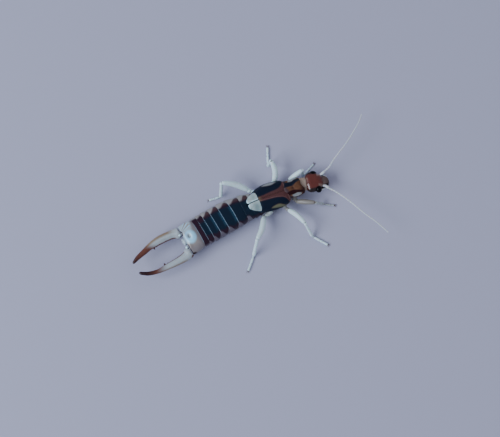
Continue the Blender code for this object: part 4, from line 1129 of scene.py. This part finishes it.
def make_legs(sizes, colours):
    """Each leg from its hip to its toe: five jointed segments and a foot flat on the floor."""
    for name in LEGS:
        bm = bmesh.new()
        foot = foot_radius(sizes, name)
        joint, spot, tawny_and_shade = marks(bm, "joint", "spot", "tawny_and_shade")
        hip, trochanter, knee, ankle, toe, thickness = leg_points(name, foot)
        heel = ankle.lerp(toe, 0.1)
        heel.z = foot
        shape = {
            "coxa": (hip, trochanter.lerp(hip, 0.1), ((0.0, 0.46), (0.4, 0.47), (0.75, 0.4), (0.93, 0.3), (1.0, 0.2)), 0.0),
            "trochanter": (trochanter.lerp(hip, 0.16), trochanter.lerp(knee, 0.1),
                           ((0.0, 0.16), (0.25, 0.27), (0.6, 0.29), (0.9, 0.2), (1.0, 0.12)), 0.0),
            "femur": (trochanter, knee, ((0.0, 0.18), (0.06, 0.28), (0.2, 0.37), (0.5, 0.39), (0.78, 0.34),
                                         (0.92, 0.29), (0.98, 0.23), (1.0, 0.14)), 0.1),
            "tibia": (knee.lerp(ankle, -0.03), ankle, ((0.0, 0.1), (0.02, 0.19), (0.08, 0.25), (0.2, 0.21), (0.6, 0.22),
                                                       (0.92, 0.24), (0.98, 0.21), (1.0, 0.14)), 0.04),
        }
        for part, (start, end, profile, bow) in shape.items():
            size = thickness * (HIP_SIZES.get(name, 1.0) if part == "coxa" else 1.0)
            sized = [(share, radius * size) for share, radius in profile]
            long = (end - start).length
            bows = {"femur": FEMUR_BOWS, "coxa": HIP_BOWS}.get(part, {})
            curve = UP * bow + Vector(bows.get(name, (0.0, 0.0, 0.0)))
            for vert, ring, angle in segment(bm, start, end, sized, 22, 34, curve, 1.06 if part == "femur" else 1.0):
                ends = min(ring.place, long - ring.place)
                vert[joint] = (-0.1 if part in ("coxa", "trochanter") else -0.04) - ends
                vert[spot] = max(KNEE_SPOTS.get(name, -1.0) - (vert.co - (knee + UP * 0.2)).length,
                                 0.12 - (vert.co - ankle).length if name == "foreleg_right" else -1.0)
                # the right foreleg: partly see-through horn, partly painted shade from the body
                vert[tawny_and_shade] = (0.03 if part == "tibia" else 0.25) if name == "foreleg_right" else -1.0
                # painted shade on the hips that lie under the body
                if part in ("coxa", "trochanter"):
                    vert[tawny_and_shade] = max(vert[tawny_and_shade], SHADED_HIPS.get(name, -1.0))
        for start, end in TARSOMERES:
            one, two = heel.lerp(toe, start), heel.lerp(toe, end)
            beads = ((0.0, 0.5 * foot), (0.1, 0.8 * foot), (0.75, foot), (0.93, 0.95 * foot), (1.0, 0.55 * foot))
            for vert, ring, angle in segment(bm, one, two, beads, 16, 14):
                vert[joint], vert[spot] = -0.03 - min(ring.place, (two - one).length - ring.place), -1.0
                vert[tawny_and_shade] = 0.03 if name == "foreleg_right" else -1.0
        for vert, ring, angle in segment(bm, ankle.lerp(knee, 0.06), heel.lerp(toe, 0.05),
                                         ((0.0, 0.5 * foot), (0.5, 0.9 * foot), (1.0, 0.6 * foot)), 16, 8):
            vert[joint], vert[spot], vert[tawny_and_shade] = -0.02, -1.0, 0.03 if name == "foreleg_right" else -1.0
        for vert in bm.verts:
            vert.co.z = max(vert.co.z, 0.0)
        finish_piece(f"{name}_skin", bm, leg_cuticle(colours), (name,))


def make_claws(sizes, colours):
    """A pair of curved claws on each foot."""
    bm = bmesh.new()
    long = sizes.claw_length / MM
    for name in LEGS:
        foot = foot_radius(sizes, name)
        _, _, _, ankle, toe, _ = leg_points(name, foot)
        ahead = Vector((toe.x - ankle.x, toe.y - ankle.y, 0.0)).normalized()
        out = Vector((-ahead.y, ahead.x, 0.0))
        for turn in (1, -1):
            points = []
            for share in spaced(0.0, 1.0, 12):
                bend = math.radians(75) * share
                height = foot * 0.9 + 0.08 * math.sin(math.pi * share) - (foot * 0.75) * share ** 1.6
                points.append(toe + ahead * long * (0.8 * math.sin(bend) - 0.12)
                              + out * turn * long * (0.1 + 0.42 * (1 - math.cos(bend))) + UP * (height - foot))
            widths = [0.042 * (1 - share) ** 0.6 + 0.008 for share in spaced(0.0, 1.0, 12)]
            lofted(bm, path_rings(points, widths), 10)
    finish_piece("claws", bm, claw_horn(colours))


def make_bristles(sizes, colours):
    """Fine bristles on the legs, the feet and the sides of the belly."""
    bm = bmesh.new()
    draw = random.Random(11)
    long, radius = sizes.bristle_length / MM, sizes.bristle_radius / MM
    for name in LEGS:
        foot = foot_radius(sizes, name)
        hip, trochanter, knee, ankle, toe, thickness = leg_points(name, foot)
        heel = Vector((ankle.x, ankle.y, foot))
        for start, end, thick, count, size in ((trochanter, knee, 0.3 * thickness, 26, 0.6),
                                               (knee, ankle, 0.2 * thickness, 46, 0.9),
                                               (heel, toe, foot * 0.9, 34, 0.55)):
            ahead = (end - start).normalized()
            side = ahead.cross(UP).normalized()
            top = side.cross(ahead)
            for _ in range(count):
                angle, share = draw.uniform(0, 2 * math.pi), draw.uniform(0.08, 0.97)
                out = side * math.cos(angle) + top * math.sin(angle)
                root = start.lerp(end, share) + out * thick * 0.92
                tip = root + (out * 0.55 + ahead * 0.8) * long * size
                if min(root.z, tip.z) > 0.02:
                    bristle(bm, root, tip - root, long * size * draw.uniform(0.5, 1.0), radius)
    for _ in range(260):
        place = draw.uniform(-8.6, -1.0)
        angle = math.radians(draw.choice((draw.uniform(-25, 12), draw.uniform(168, 205))))
        ring = abdomen_ring(place)
        root = ring.point(angle, 0.02)
        backwards = -along_body(place)[0]
        bristle(bm, root, ring.outward(angle) * 0.5 + backwards, long * draw.uniform(0.35, 0.8), radius)
    finish_piece("bristles", bm, bristle_horn(colours))


# ---- Tail plate and forceps --------------------------------------------------------------------

TAIL_FRONT, TAIL_REAR = -8.45, -10.74
TAIL_RING = (-9.95, 0.27)
CONDYLES = {1: (-11.04, 1.12), -1: (-11.03, -0.9)}
# The creases fan forwards from the left hinge: the turn of the first ridge and from ridge to ridge.
CREASE_START, CREASE_TURN = math.radians(13.5), math.radians(14.5)


def tail_crease(place, across):
    """The creases that fan forwards from the left hinge: -1 to 1, and how strong they are."""
    ahead, out = place - CONDYLES[1][0], across - CONDYLES[1][1]
    away, turn = math.hypot(ahead, out), math.atan2(out, ahead)
    strength = ramp(away, 0.45, 0.7) * (1 - ramp(away, 1.7, 2.2)) * ramp(turn, 0.08, 0.2) * (1 - ramp(turn, 0.68, 0.85))
    return math.cos((turn - CREASE_START) / CREASE_TURN * 2 * math.pi), strength


def tail_relief(place, across):
    """The height of the last plate's ring, dimple, creases and bulges over its plain curve."""
    away = math.hypot(place - TAIL_RING[0], 0.85 * (across - TAIL_RING[1]))
    wave, strength = tail_crease(place, across)
    relief = 0.1 * hill(away - 0.55, 0.32) - 0.09 * hill(away, 0.16) + 0.045 * wave * strength
    relief += 0.12 * hill(place + 10.5, 0.28) * hill(abs(across) - 1.1, 0.4)
    relief -= 0.12 * hill(place + 10.75, 0.2) * hill(across - 0.1, 0.4)
    return relief


def make_tail_plate(sizes, colours):
    """The last plate, over the forceps' muscles."""
    bm = bmesh.new()
    names = ("mauve_and_shade", "frost", "crease", "ring", "dimple", "corner", "dark")
    mauve_and_shade, frost, crease, ring_highlight, dimple, corner, dark = marks(bm, *names)
    margins = ((-10.74, -0.75), (-10.735, -0.25), (-10.7, -0.08), (-10.6, -0.01), (-10.4, 0.02), (-9.6, 0.03),
               (-9.0, 0.0), (-8.7, -0.06), (-8.45, -0.12))
    places = spaced(TAIL_FRONT, -10.5, 60) + spaced(-10.53, TAIL_REAR, 26)
    rings = []
    for place in places:
        ring = abdomen_ring(place)
        margin = smooth(margins, place)
        ring.width, ring.top, ring.bottom = ring.width + margin, ring.top + margin, ring.bottom + margin
        rings.append(ring)
    for vert, ring, angle in lofted(bm, rings, 128):
        across = ring.across(angle)
        upward = max(0.0, math.sin(angle))
        vert.co.z += tail_relief(ring.place, across) * ramp(upward, 0.02, 0.35)
        for layer in (frost, crease, ring_highlight, dimple):
            vert[layer] = -1.0
        # the front is the plate's own grey-mauve; the right side is painted shade
        vert[mauve_and_shade] = max(ring.place + 9.2, 0.7 * (-across - 1.1))
        if upward > 0.1:
            away = math.hypot(ring.place - TAIL_RING[0], 0.85 * (across - TAIL_RING[1]))
            towards = (ring.place - TAIL_RING[0] - across + TAIL_RING[1]) / max(away, 0.3) / 1.41
            wave, strength = tail_crease(ring.place, across)
            vert[frost] = min(-9.45 - ring.place + 0.25 * across, across + 0.6)
            # painted shade in the troughs of the creases
            vert[crease] = (-0.35 - wave) * 0.15 if strength > 0.4 else -1.0
            # painted reflection: the ring, brightest on its front right, and the ridges of the creases
            vert[ring_highlight] = max(min(away - 0.2, 0.84 - away + 0.06 * towards) + 0.12 * (towards - 0.6),
                                  (wave - 0.75) * 0.3 if strength > 0.4 else -1.0)
            vert[dimple] = 0.24 - away
        side = 1 if across > 0 else -1
        hinge = math.hypot(ring.place - CONDYLES[side][0], across - CONDYLES[side][1])
        vert[corner] = 0.4 - math.hypot(0.8 * (ring.place + 10.6), across + 2.38)
        vert[dark] = max(0.08 - abs(hinge - (0.45 if side > 0 else 0.4)), min(0.06 - abs(ring.place + 10.7), -1.3 - across))
    finish_piece("last_plate", bm, tail_cuticle(colours), ("tail_plate",))
    bm = bmesh.new()
    layers = marks(bm, *names)
    backwards = -along_body(-10.9)[0]
    placed = egg(bm, on_body(-10.82, 0.0, 1.66), backwards, (0.42, 0.55, 0.36), 32, 20)
    for out in (1, -1):
        placed += egg(bm, on_body(-10.98, 0.34 * out, 1.78), backwards, (0.22, 0.2, 0.16), 20, 12)
    for vert, ring, angle in placed:
        for layer, value in zip(layers, (0.2, 0.3, -1.0, -1.0, -1.0, -1.0, -1.0)):
            vert[layer] = value
    finish_piece("pygidium", bm, tail_cuticle(colours))


# Along each arm of the forceps as a share of its length: out from the midline, above its root,
# and its half width.
FORCEPS_ROOT, FORCEPS_HEIGHT, FORCEPS_LENGTH = -10.97, 1.62, {1: 7.7, -1: 7.62}
FORCEPS_STATIONS = {
    1: ((0.0, 1.52, 0.0, 0.78), (0.03, 1.58, 0.0, 0.8), (0.08, 1.72, 0.02, 0.7), (0.14, 1.83, 0.04, 0.63), (0.36, 1.98, 0.12, 0.62),
        (0.5, 1.93, 0.18, 0.55), (0.6, 1.82, 0.22, 0.47), (0.72, 1.6, 0.26, 0.41), (0.87, 1.34, 0.3, 0.33), (0.95, 1.12, 0.29, 0.24),
        (0.985, 1.01, 0.28, 0.17), (1.0, 0.96, 0.28, 0.05)),
    -1: ((0.0, 1.6, 0.0, 0.78), (0.03, 1.7, 0.0, 0.8), (0.07, 1.86, 0.02, 0.72), (0.155, 1.94, 0.05, 0.61), (0.26, 1.95, 0.09, 0.54),
         (0.36, 1.93, 0.13, 0.49), (0.5, 1.87, 0.18, 0.42), (0.6, 1.82, 0.22, 0.36), (0.7, 1.73, 0.25, 0.31), (0.85, 1.37, 0.3, 0.29), (0.94, 0.95, 0.29, 0.24),
         (0.985, 0.68, 0.28, 0.2), (1.0, 0.6, 0.28, 0.06)),
}
TEETH = {1: ((-15.03, 1.36, 0.26), (-14.6, 1.4, 0.16)), -1: ((-14.89, -1.4, 0.26), (-14.4, -1.44, 0.12))}


def forceps_centre(side, share):
    across, above, _ = smooth_row(FORCEPS_STATIONS[side], share)
    return on_body(FORCEPS_ROOT - share * FORCEPS_LENGTH[side], side * across, FORCEPS_HEIGHT + above)


def make_forceps(sizes, colours):
    """The two arms: ridged above, keeled inside as far as the tooth, round and smooth at the tip."""
    for side, word in SIDES:
        bm = bmesh.new()
        flank, edge, brown, maroon, dark = marks(bm, "flank", "edge", "brown", "maroon", "dark")
        shares = spaced(-0.02, 0.0, 4)[:-1] + spaced(0.0, 0.12, 20)[:-1] + spaced(0.12, 1.0, 90)
        points = [forceps_centre(side, share) for share in shares]
        widths = [smooth_row(FORCEPS_STATIONS[side], share)[2] - (0.1 if share < 0 else 0.0) for share in shares]
        rings = path_rings(points, widths, 0.88)
        hinge = on_body(*CONDYLES[side], 1.86)
        ahead, left = along_body(-14.0)
        inward = -left * side
        long = FORCEPS_LENGTH[side]
        for ring, share in zip(rings, shares):
            ring.place = share
        for vert, ring, angle in lofted(bm, rings, 40):
            share = ring.place
            across = ring.left * math.cos(angle) + ring.up * math.sin(angle)
            inside, top = across.dot(inward), across.dot(UP)
            keel = hill(1 - inside, 0.12) * (ramp(share, 0.02, 0.12) - ramp(share, 0.5, 0.62))
            crest = hill(inside - 0.1, 0.3) * ramp(top, 0.3, 0.8) * (1 - ramp(share, 0.1, 0.75))
            hollow = hill(inside - 0.62, 0.2) * ramp(top, 0.0, 0.5) * (1 - ramp(share, 0.4, 0.7))
            vert.co += across * ring.width * (0.06 * keel + 0.05 * crest - 0.06 * hollow)
            vert[brown] = (share - 0.575 + 0.055 * inside) * long * 1.5 if side > 0 else (share - 0.585 + 0.02 * inside) * long
            vert[maroon] = (share - (0.9 if side > 0 else 0.78)) * long
            corner = (vert.co - on_body(-10.8, side * 2.35, 1.7)).length
            vert[edge] = max(min((inside - 0.84) * 0.6, 1.5 * (share - 0.06), 2.0 * (0.66 - share)),
                             (0.1 if side > 0 else 0.42) - corner)
            vert[flank] = min(((-0.26 if side > 0 else -0.7) - inside) * 0.6, (share - 0.13) * 2)
            away = vert.co - hinge
            vert[dark] = max(0.05 - abs(away.length - 0.3) if away.dot(ahead) > -0.12 else -1.0, -0.03 - share)
        for place, across, reach in TEETH[side]:
            root = on_body(place, across + side * 0.12, 1.79)
            for vert, ring, angle in segment(bm, root, root + inward * (reach + 0.1),
                                             ((0.0, 0.2), (0.5, 0.12), (0.9, 0.05), (1.0, 0.015)), 14, 12, flatness=0.6):
                vert[edge], vert[brown], vert[maroon], vert[dark], vert[flank] = 0.1, 0.4, 0.3, -1.0, -1.0
        finish_piece(f"forceps_arm_{word}", bm, forceps_cuticle(colours), (f"forceps_{word}",))
    bm = bmesh.new()
    for side, _ in SIDES:
        egg(bm, on_body(*CONDYLES[side], 2.02), -along_body(-11.0)[0], (0.22, 0.21, 0.26), 24, 16)
    finish_piece("forceps_condyles", bm, condyle_cuticle(colours))


# ---- Stage -------------------------------------------------------------------------------------

VIEW_HEADING, VIEW_TILT = 24.0, 8.0
VIEW_DISTANCE, VIEW_TARGET, VIEW_LENS = 0.2, Vector((-0.00134, 0.00077, 0.0)), 101.52


def view_axes():
    """The directions right, up and towards the camera in the main view."""
    heading, tilt = math.radians(VIEW_HEADING), math.radians(VIEW_TILT)
    right = Vector((math.cos(heading), -math.sin(heading), 0.0))
    away = Vector((math.sin(heading), math.cos(heading), 0.0))
    back = UP * math.cos(tilt) - away * math.sin(tilt)
    return right, away * math.cos(tilt) + UP * math.sin(tilt), back


def make_floor(colours):
    """A wide round floor of matt paper."""
    bm = bmesh.new()
    bmesh.ops.create_circle(bm, cap_ends=True, segments=96, radius=1.2)
    mesh = bpy.data.meshes.new("floor")
    bm.to_mesh(mesh)
    bm.free()
    floor = bpy.data.objects.new("floor", mesh)
    bpy.context.scene.collection.objects.link(floor)
    paper = bpy.data.materials.new("matt_studio_paper")
    paper.use_nodes = True
    tree = paper.node_tree
    shader = tree.nodes["Principled BSDF"]
    place = node(tree, "ShaderNodeTexCoord").outputs["Object"]
    fibre = node(tree, "ShaderNodeTexNoise", {"Scale": per(3.0), "Detail": 4.0}, {"Vector": place})
    tint = node(tree, "ShaderNodeMapRange", {"To Min": 0.0, "To Max": 0.05}, {"Value": fibre.outputs["Fac"]})
    mixed = node(tree, "ShaderNodeMix", {"data_type": "RGBA", 6: colours.floor, 7: (0.4, 0.38, 0.42, 1.0)},
                 {0: tint.outputs["Result"]})
    tree.links.new(mixed.outputs[2], shader.inputs["Base Color"])
    shader.inputs["Roughness"].default_value = 0.85
    shader.inputs["Specular IOR Level"].default_value = 0.2
    mesh.materials.append(paper)


def make_softbox(name, place, size, power, colour):
    """A rectangular studio light that faces the animal."""
    light = bpy.data.lights.new(name, "AREA")
    light.shape, light.size, light.size_y, light.energy, light.color = "RECTANGLE", *size, power, colour
    box = bpy.data.objects.new(name, light)
    box.location = place
    box.rotation_euler = (VIEW_TARGET - place).to_track_quat("-Z", "Y").to_euler()
    bpy.context.scene.collection.objects.link(box)
    return box


def make_stage(colours):
    """The floor, the soft lights and the camera at the photograph's angle and framing."""
    make_floor(colours)
    right, top, back = view_axes()
    make_softbox("window_light", VIEW_TARGET - right * 0.3 - top * 0.11 + UP * 0.28, (0.34, 0.2), 1.75, (0.8, 0.9, 1.0))
    fill = make_softbox("fill_light", VIEW_TARGET + right * 0.3 + top * 0.22 + UP * 0.2, (0.5, 0.5), 0.45, (1.0, 0.97, 0.98))
    fill.visible_glossy = False  # a fill behind a diffusing screen: it brightens without a reflection
    world = bpy.data.worlds.new("studio")
    bpy.context.scene.world = world
    world.use_nodes = True
    world.node_tree.nodes["Background"].inputs["Color"].default_value = (0.72, 0.81, 1.0, 1.0)
    world.node_tree.nodes["Background"].inputs["Strength"].default_value = 0.37
    camera = bpy.data.cameras.new("camera")
    camera.lens, camera.sensor_width, camera.clip_start, camera.clip_end = VIEW_LENS, 36.0, 0.005, 20.0
    stand = bpy.data.objects.new("camera", camera)
    turned = Matrix((right, top, back)).transposed().to_4x4()
    turned.translation = VIEW_TARGET + back * VIEW_DISTANCE
    stand.matrix_world = turned
    bpy.context.scene.collection.objects.link(stand)
    bpy.context.scene.camera = stand


# ---- Operators ---------------------------------------------------------------------------------

class EARWIG_OT_skin(bpy.types.Operator):
    """Build the soft skin from the neck to the last plate"""
    bl_idname = "earwig.skin"
    bl_label = "Body skin"

    def execute(self, context):
        make_body_skin(context.scene.earwig_sizes, context.scene.earwig_colours)
        return {"FINISHED"}


class EARWIG_OT_plates(bpy.types.Operator):
    """Build the plates of the back, belly and breast"""
    bl_idname = "earwig.plates"
    bl_label = "Back and belly plates"

    def execute(self, context):
        make_tergites(context.scene.earwig_sizes, context.scene.earwig_colours)
        make_sternites(context.scene.earwig_sizes, context.scene.earwig_colours)
        return {"FINISHED"}


class EARWIG_OT_shield(bpy.types.Operator):
    """Build the shield behind the head"""
    bl_idname = "earwig.shield"
    bl_label = "Shield"

    def execute(self, context):
        make_shield(context.scene.earwig_sizes, context.scene.earwig_colours)
        return {"FINISHED"}


class EARWIG_OT_wings(bpy.types.Operator):
    """Build the wing cases and the tips of the folded wings"""
    bl_idname = "earwig.wings"
    bl_label = "Wing cases and wing tips"

    def execute(self, context):
        make_wing_cases(context.scene.earwig_sizes, context.scene.earwig_colours)
        make_wing_tips(context.scene.earwig_sizes, context.scene.earwig_colours)
        return {"FINISHED"}


class EARWIG_OT_head(bpy.types.Operator):
    """Build the head capsule, the mouthparts and the eyes"""
    bl_idname = "earwig.head"
    bl_label = "Head"

    def execute(self, context):
        make_head(context.scene.earwig_sizes, context.scene.earwig_colours)
        make_mouthparts(context.scene.earwig_sizes, context.scene.earwig_colours)
        make_eyes(context.scene.earwig_sizes, context.scene.earwig_colours)
        return {"FINISHED"}


class EARWIG_OT_feelers(bpy.types.Operator):
    """Build the feelers and the palps"""
    bl_idname = "earwig.feelers"
    bl_label = "Feelers and palps"

    def execute(self, context):
        make_feelers(context.scene.earwig_sizes, context.scene.earwig_colours)
        make_palps(context.scene.earwig_sizes, context.scene.earwig_colours)
        return {"FINISHED"}


class EARWIG_OT_legs(bpy.types.Operator):
    """Build the legs, their claws and their bristles"""
    bl_idname = "earwig.legs"
    bl_label = "Legs"

    def execute(self, context):
        make_legs(context.scene.earwig_sizes, context.scene.earwig_colours)
        make_claws(context.scene.earwig_sizes, context.scene.earwig_colours)
        make_bristles(context.scene.earwig_sizes, context.scene.earwig_colours)
        return {"FINISHED"}


class EARWIG_OT_tail(bpy.types.Operator):
    """Build the last plate and the forceps"""
    bl_idname = "earwig.tail"
    bl_label = "Last plate and forceps"

    def execute(self, context):
        make_tail_plate(context.scene.earwig_sizes, context.scene.earwig_colours)
        make_forceps(context.scene.earwig_sizes, context.scene.earwig_colours)
        return {"FINISHED"}


class EARWIG_OT_stage(bpy.types.Operator):
    """Build the floor, the lights and the camera"""
    bl_idname = "earwig.stage"
    bl_label = "Stage"

    def execute(self, context):
        make_stage(context.scene.earwig_colours)
        return {"FINISHED"}


OPERATORS = (EARWIG_OT_skin, EARWIG_OT_plates, EARWIG_OT_shield, EARWIG_OT_wings, EARWIG_OT_head, EARWIG_OT_feelers,
             EARWIG_OT_legs, EARWIG_OT_tail, EARWIG_OT_stage)


class EARWIG_PT_pieces(bpy.types.Panel):
    """Lists the sizes, the colours and the pieces"""
    bl_idname = "EARWIG_PT_pieces"
    bl_label = "Shore earwig"
    bl_space_type = "VIEW_3D"
    bl_region_type = "UI"
    bl_category = "Earwig"

    def draw(self, context):
        for group in (context.scene.earwig_sizes, context.scene.earwig_colours):
            box = self.layout.box()
            for name in group.__annotations__:
                box.prop(group, name)
        for operator in OPERATORS:
            self.layout.operator(operator.bl_idname)


CLASSES = (EARWIG_PG_sizes, EARWIG_PG_colours, *OPERATORS, EARWIG_PT_pieces)


def register():
    for made in CLASSES:
        bpy.utils.register_class(made)
    bpy.types.Scene.earwig_sizes = bpy.props.PointerProperty(type=EARWIG_PG_sizes)
    bpy.types.Scene.earwig_colours = bpy.props.PointerProperty(type=EARWIG_PG_colours)


def unregister():
    del bpy.types.Scene.earwig_colours
    del bpy.types.Scene.earwig_sizes
    for made in reversed(CLASSES):
        bpy.utils.unregister_class(made)


def main():
    """Builds every piece in order."""
    register()
    for operator in OPERATORS:
        group, name = operator.bl_idname.split(".")
        getattr(getattr(bpy.ops, group), name)()


if __name__ == "__main__":
    main()
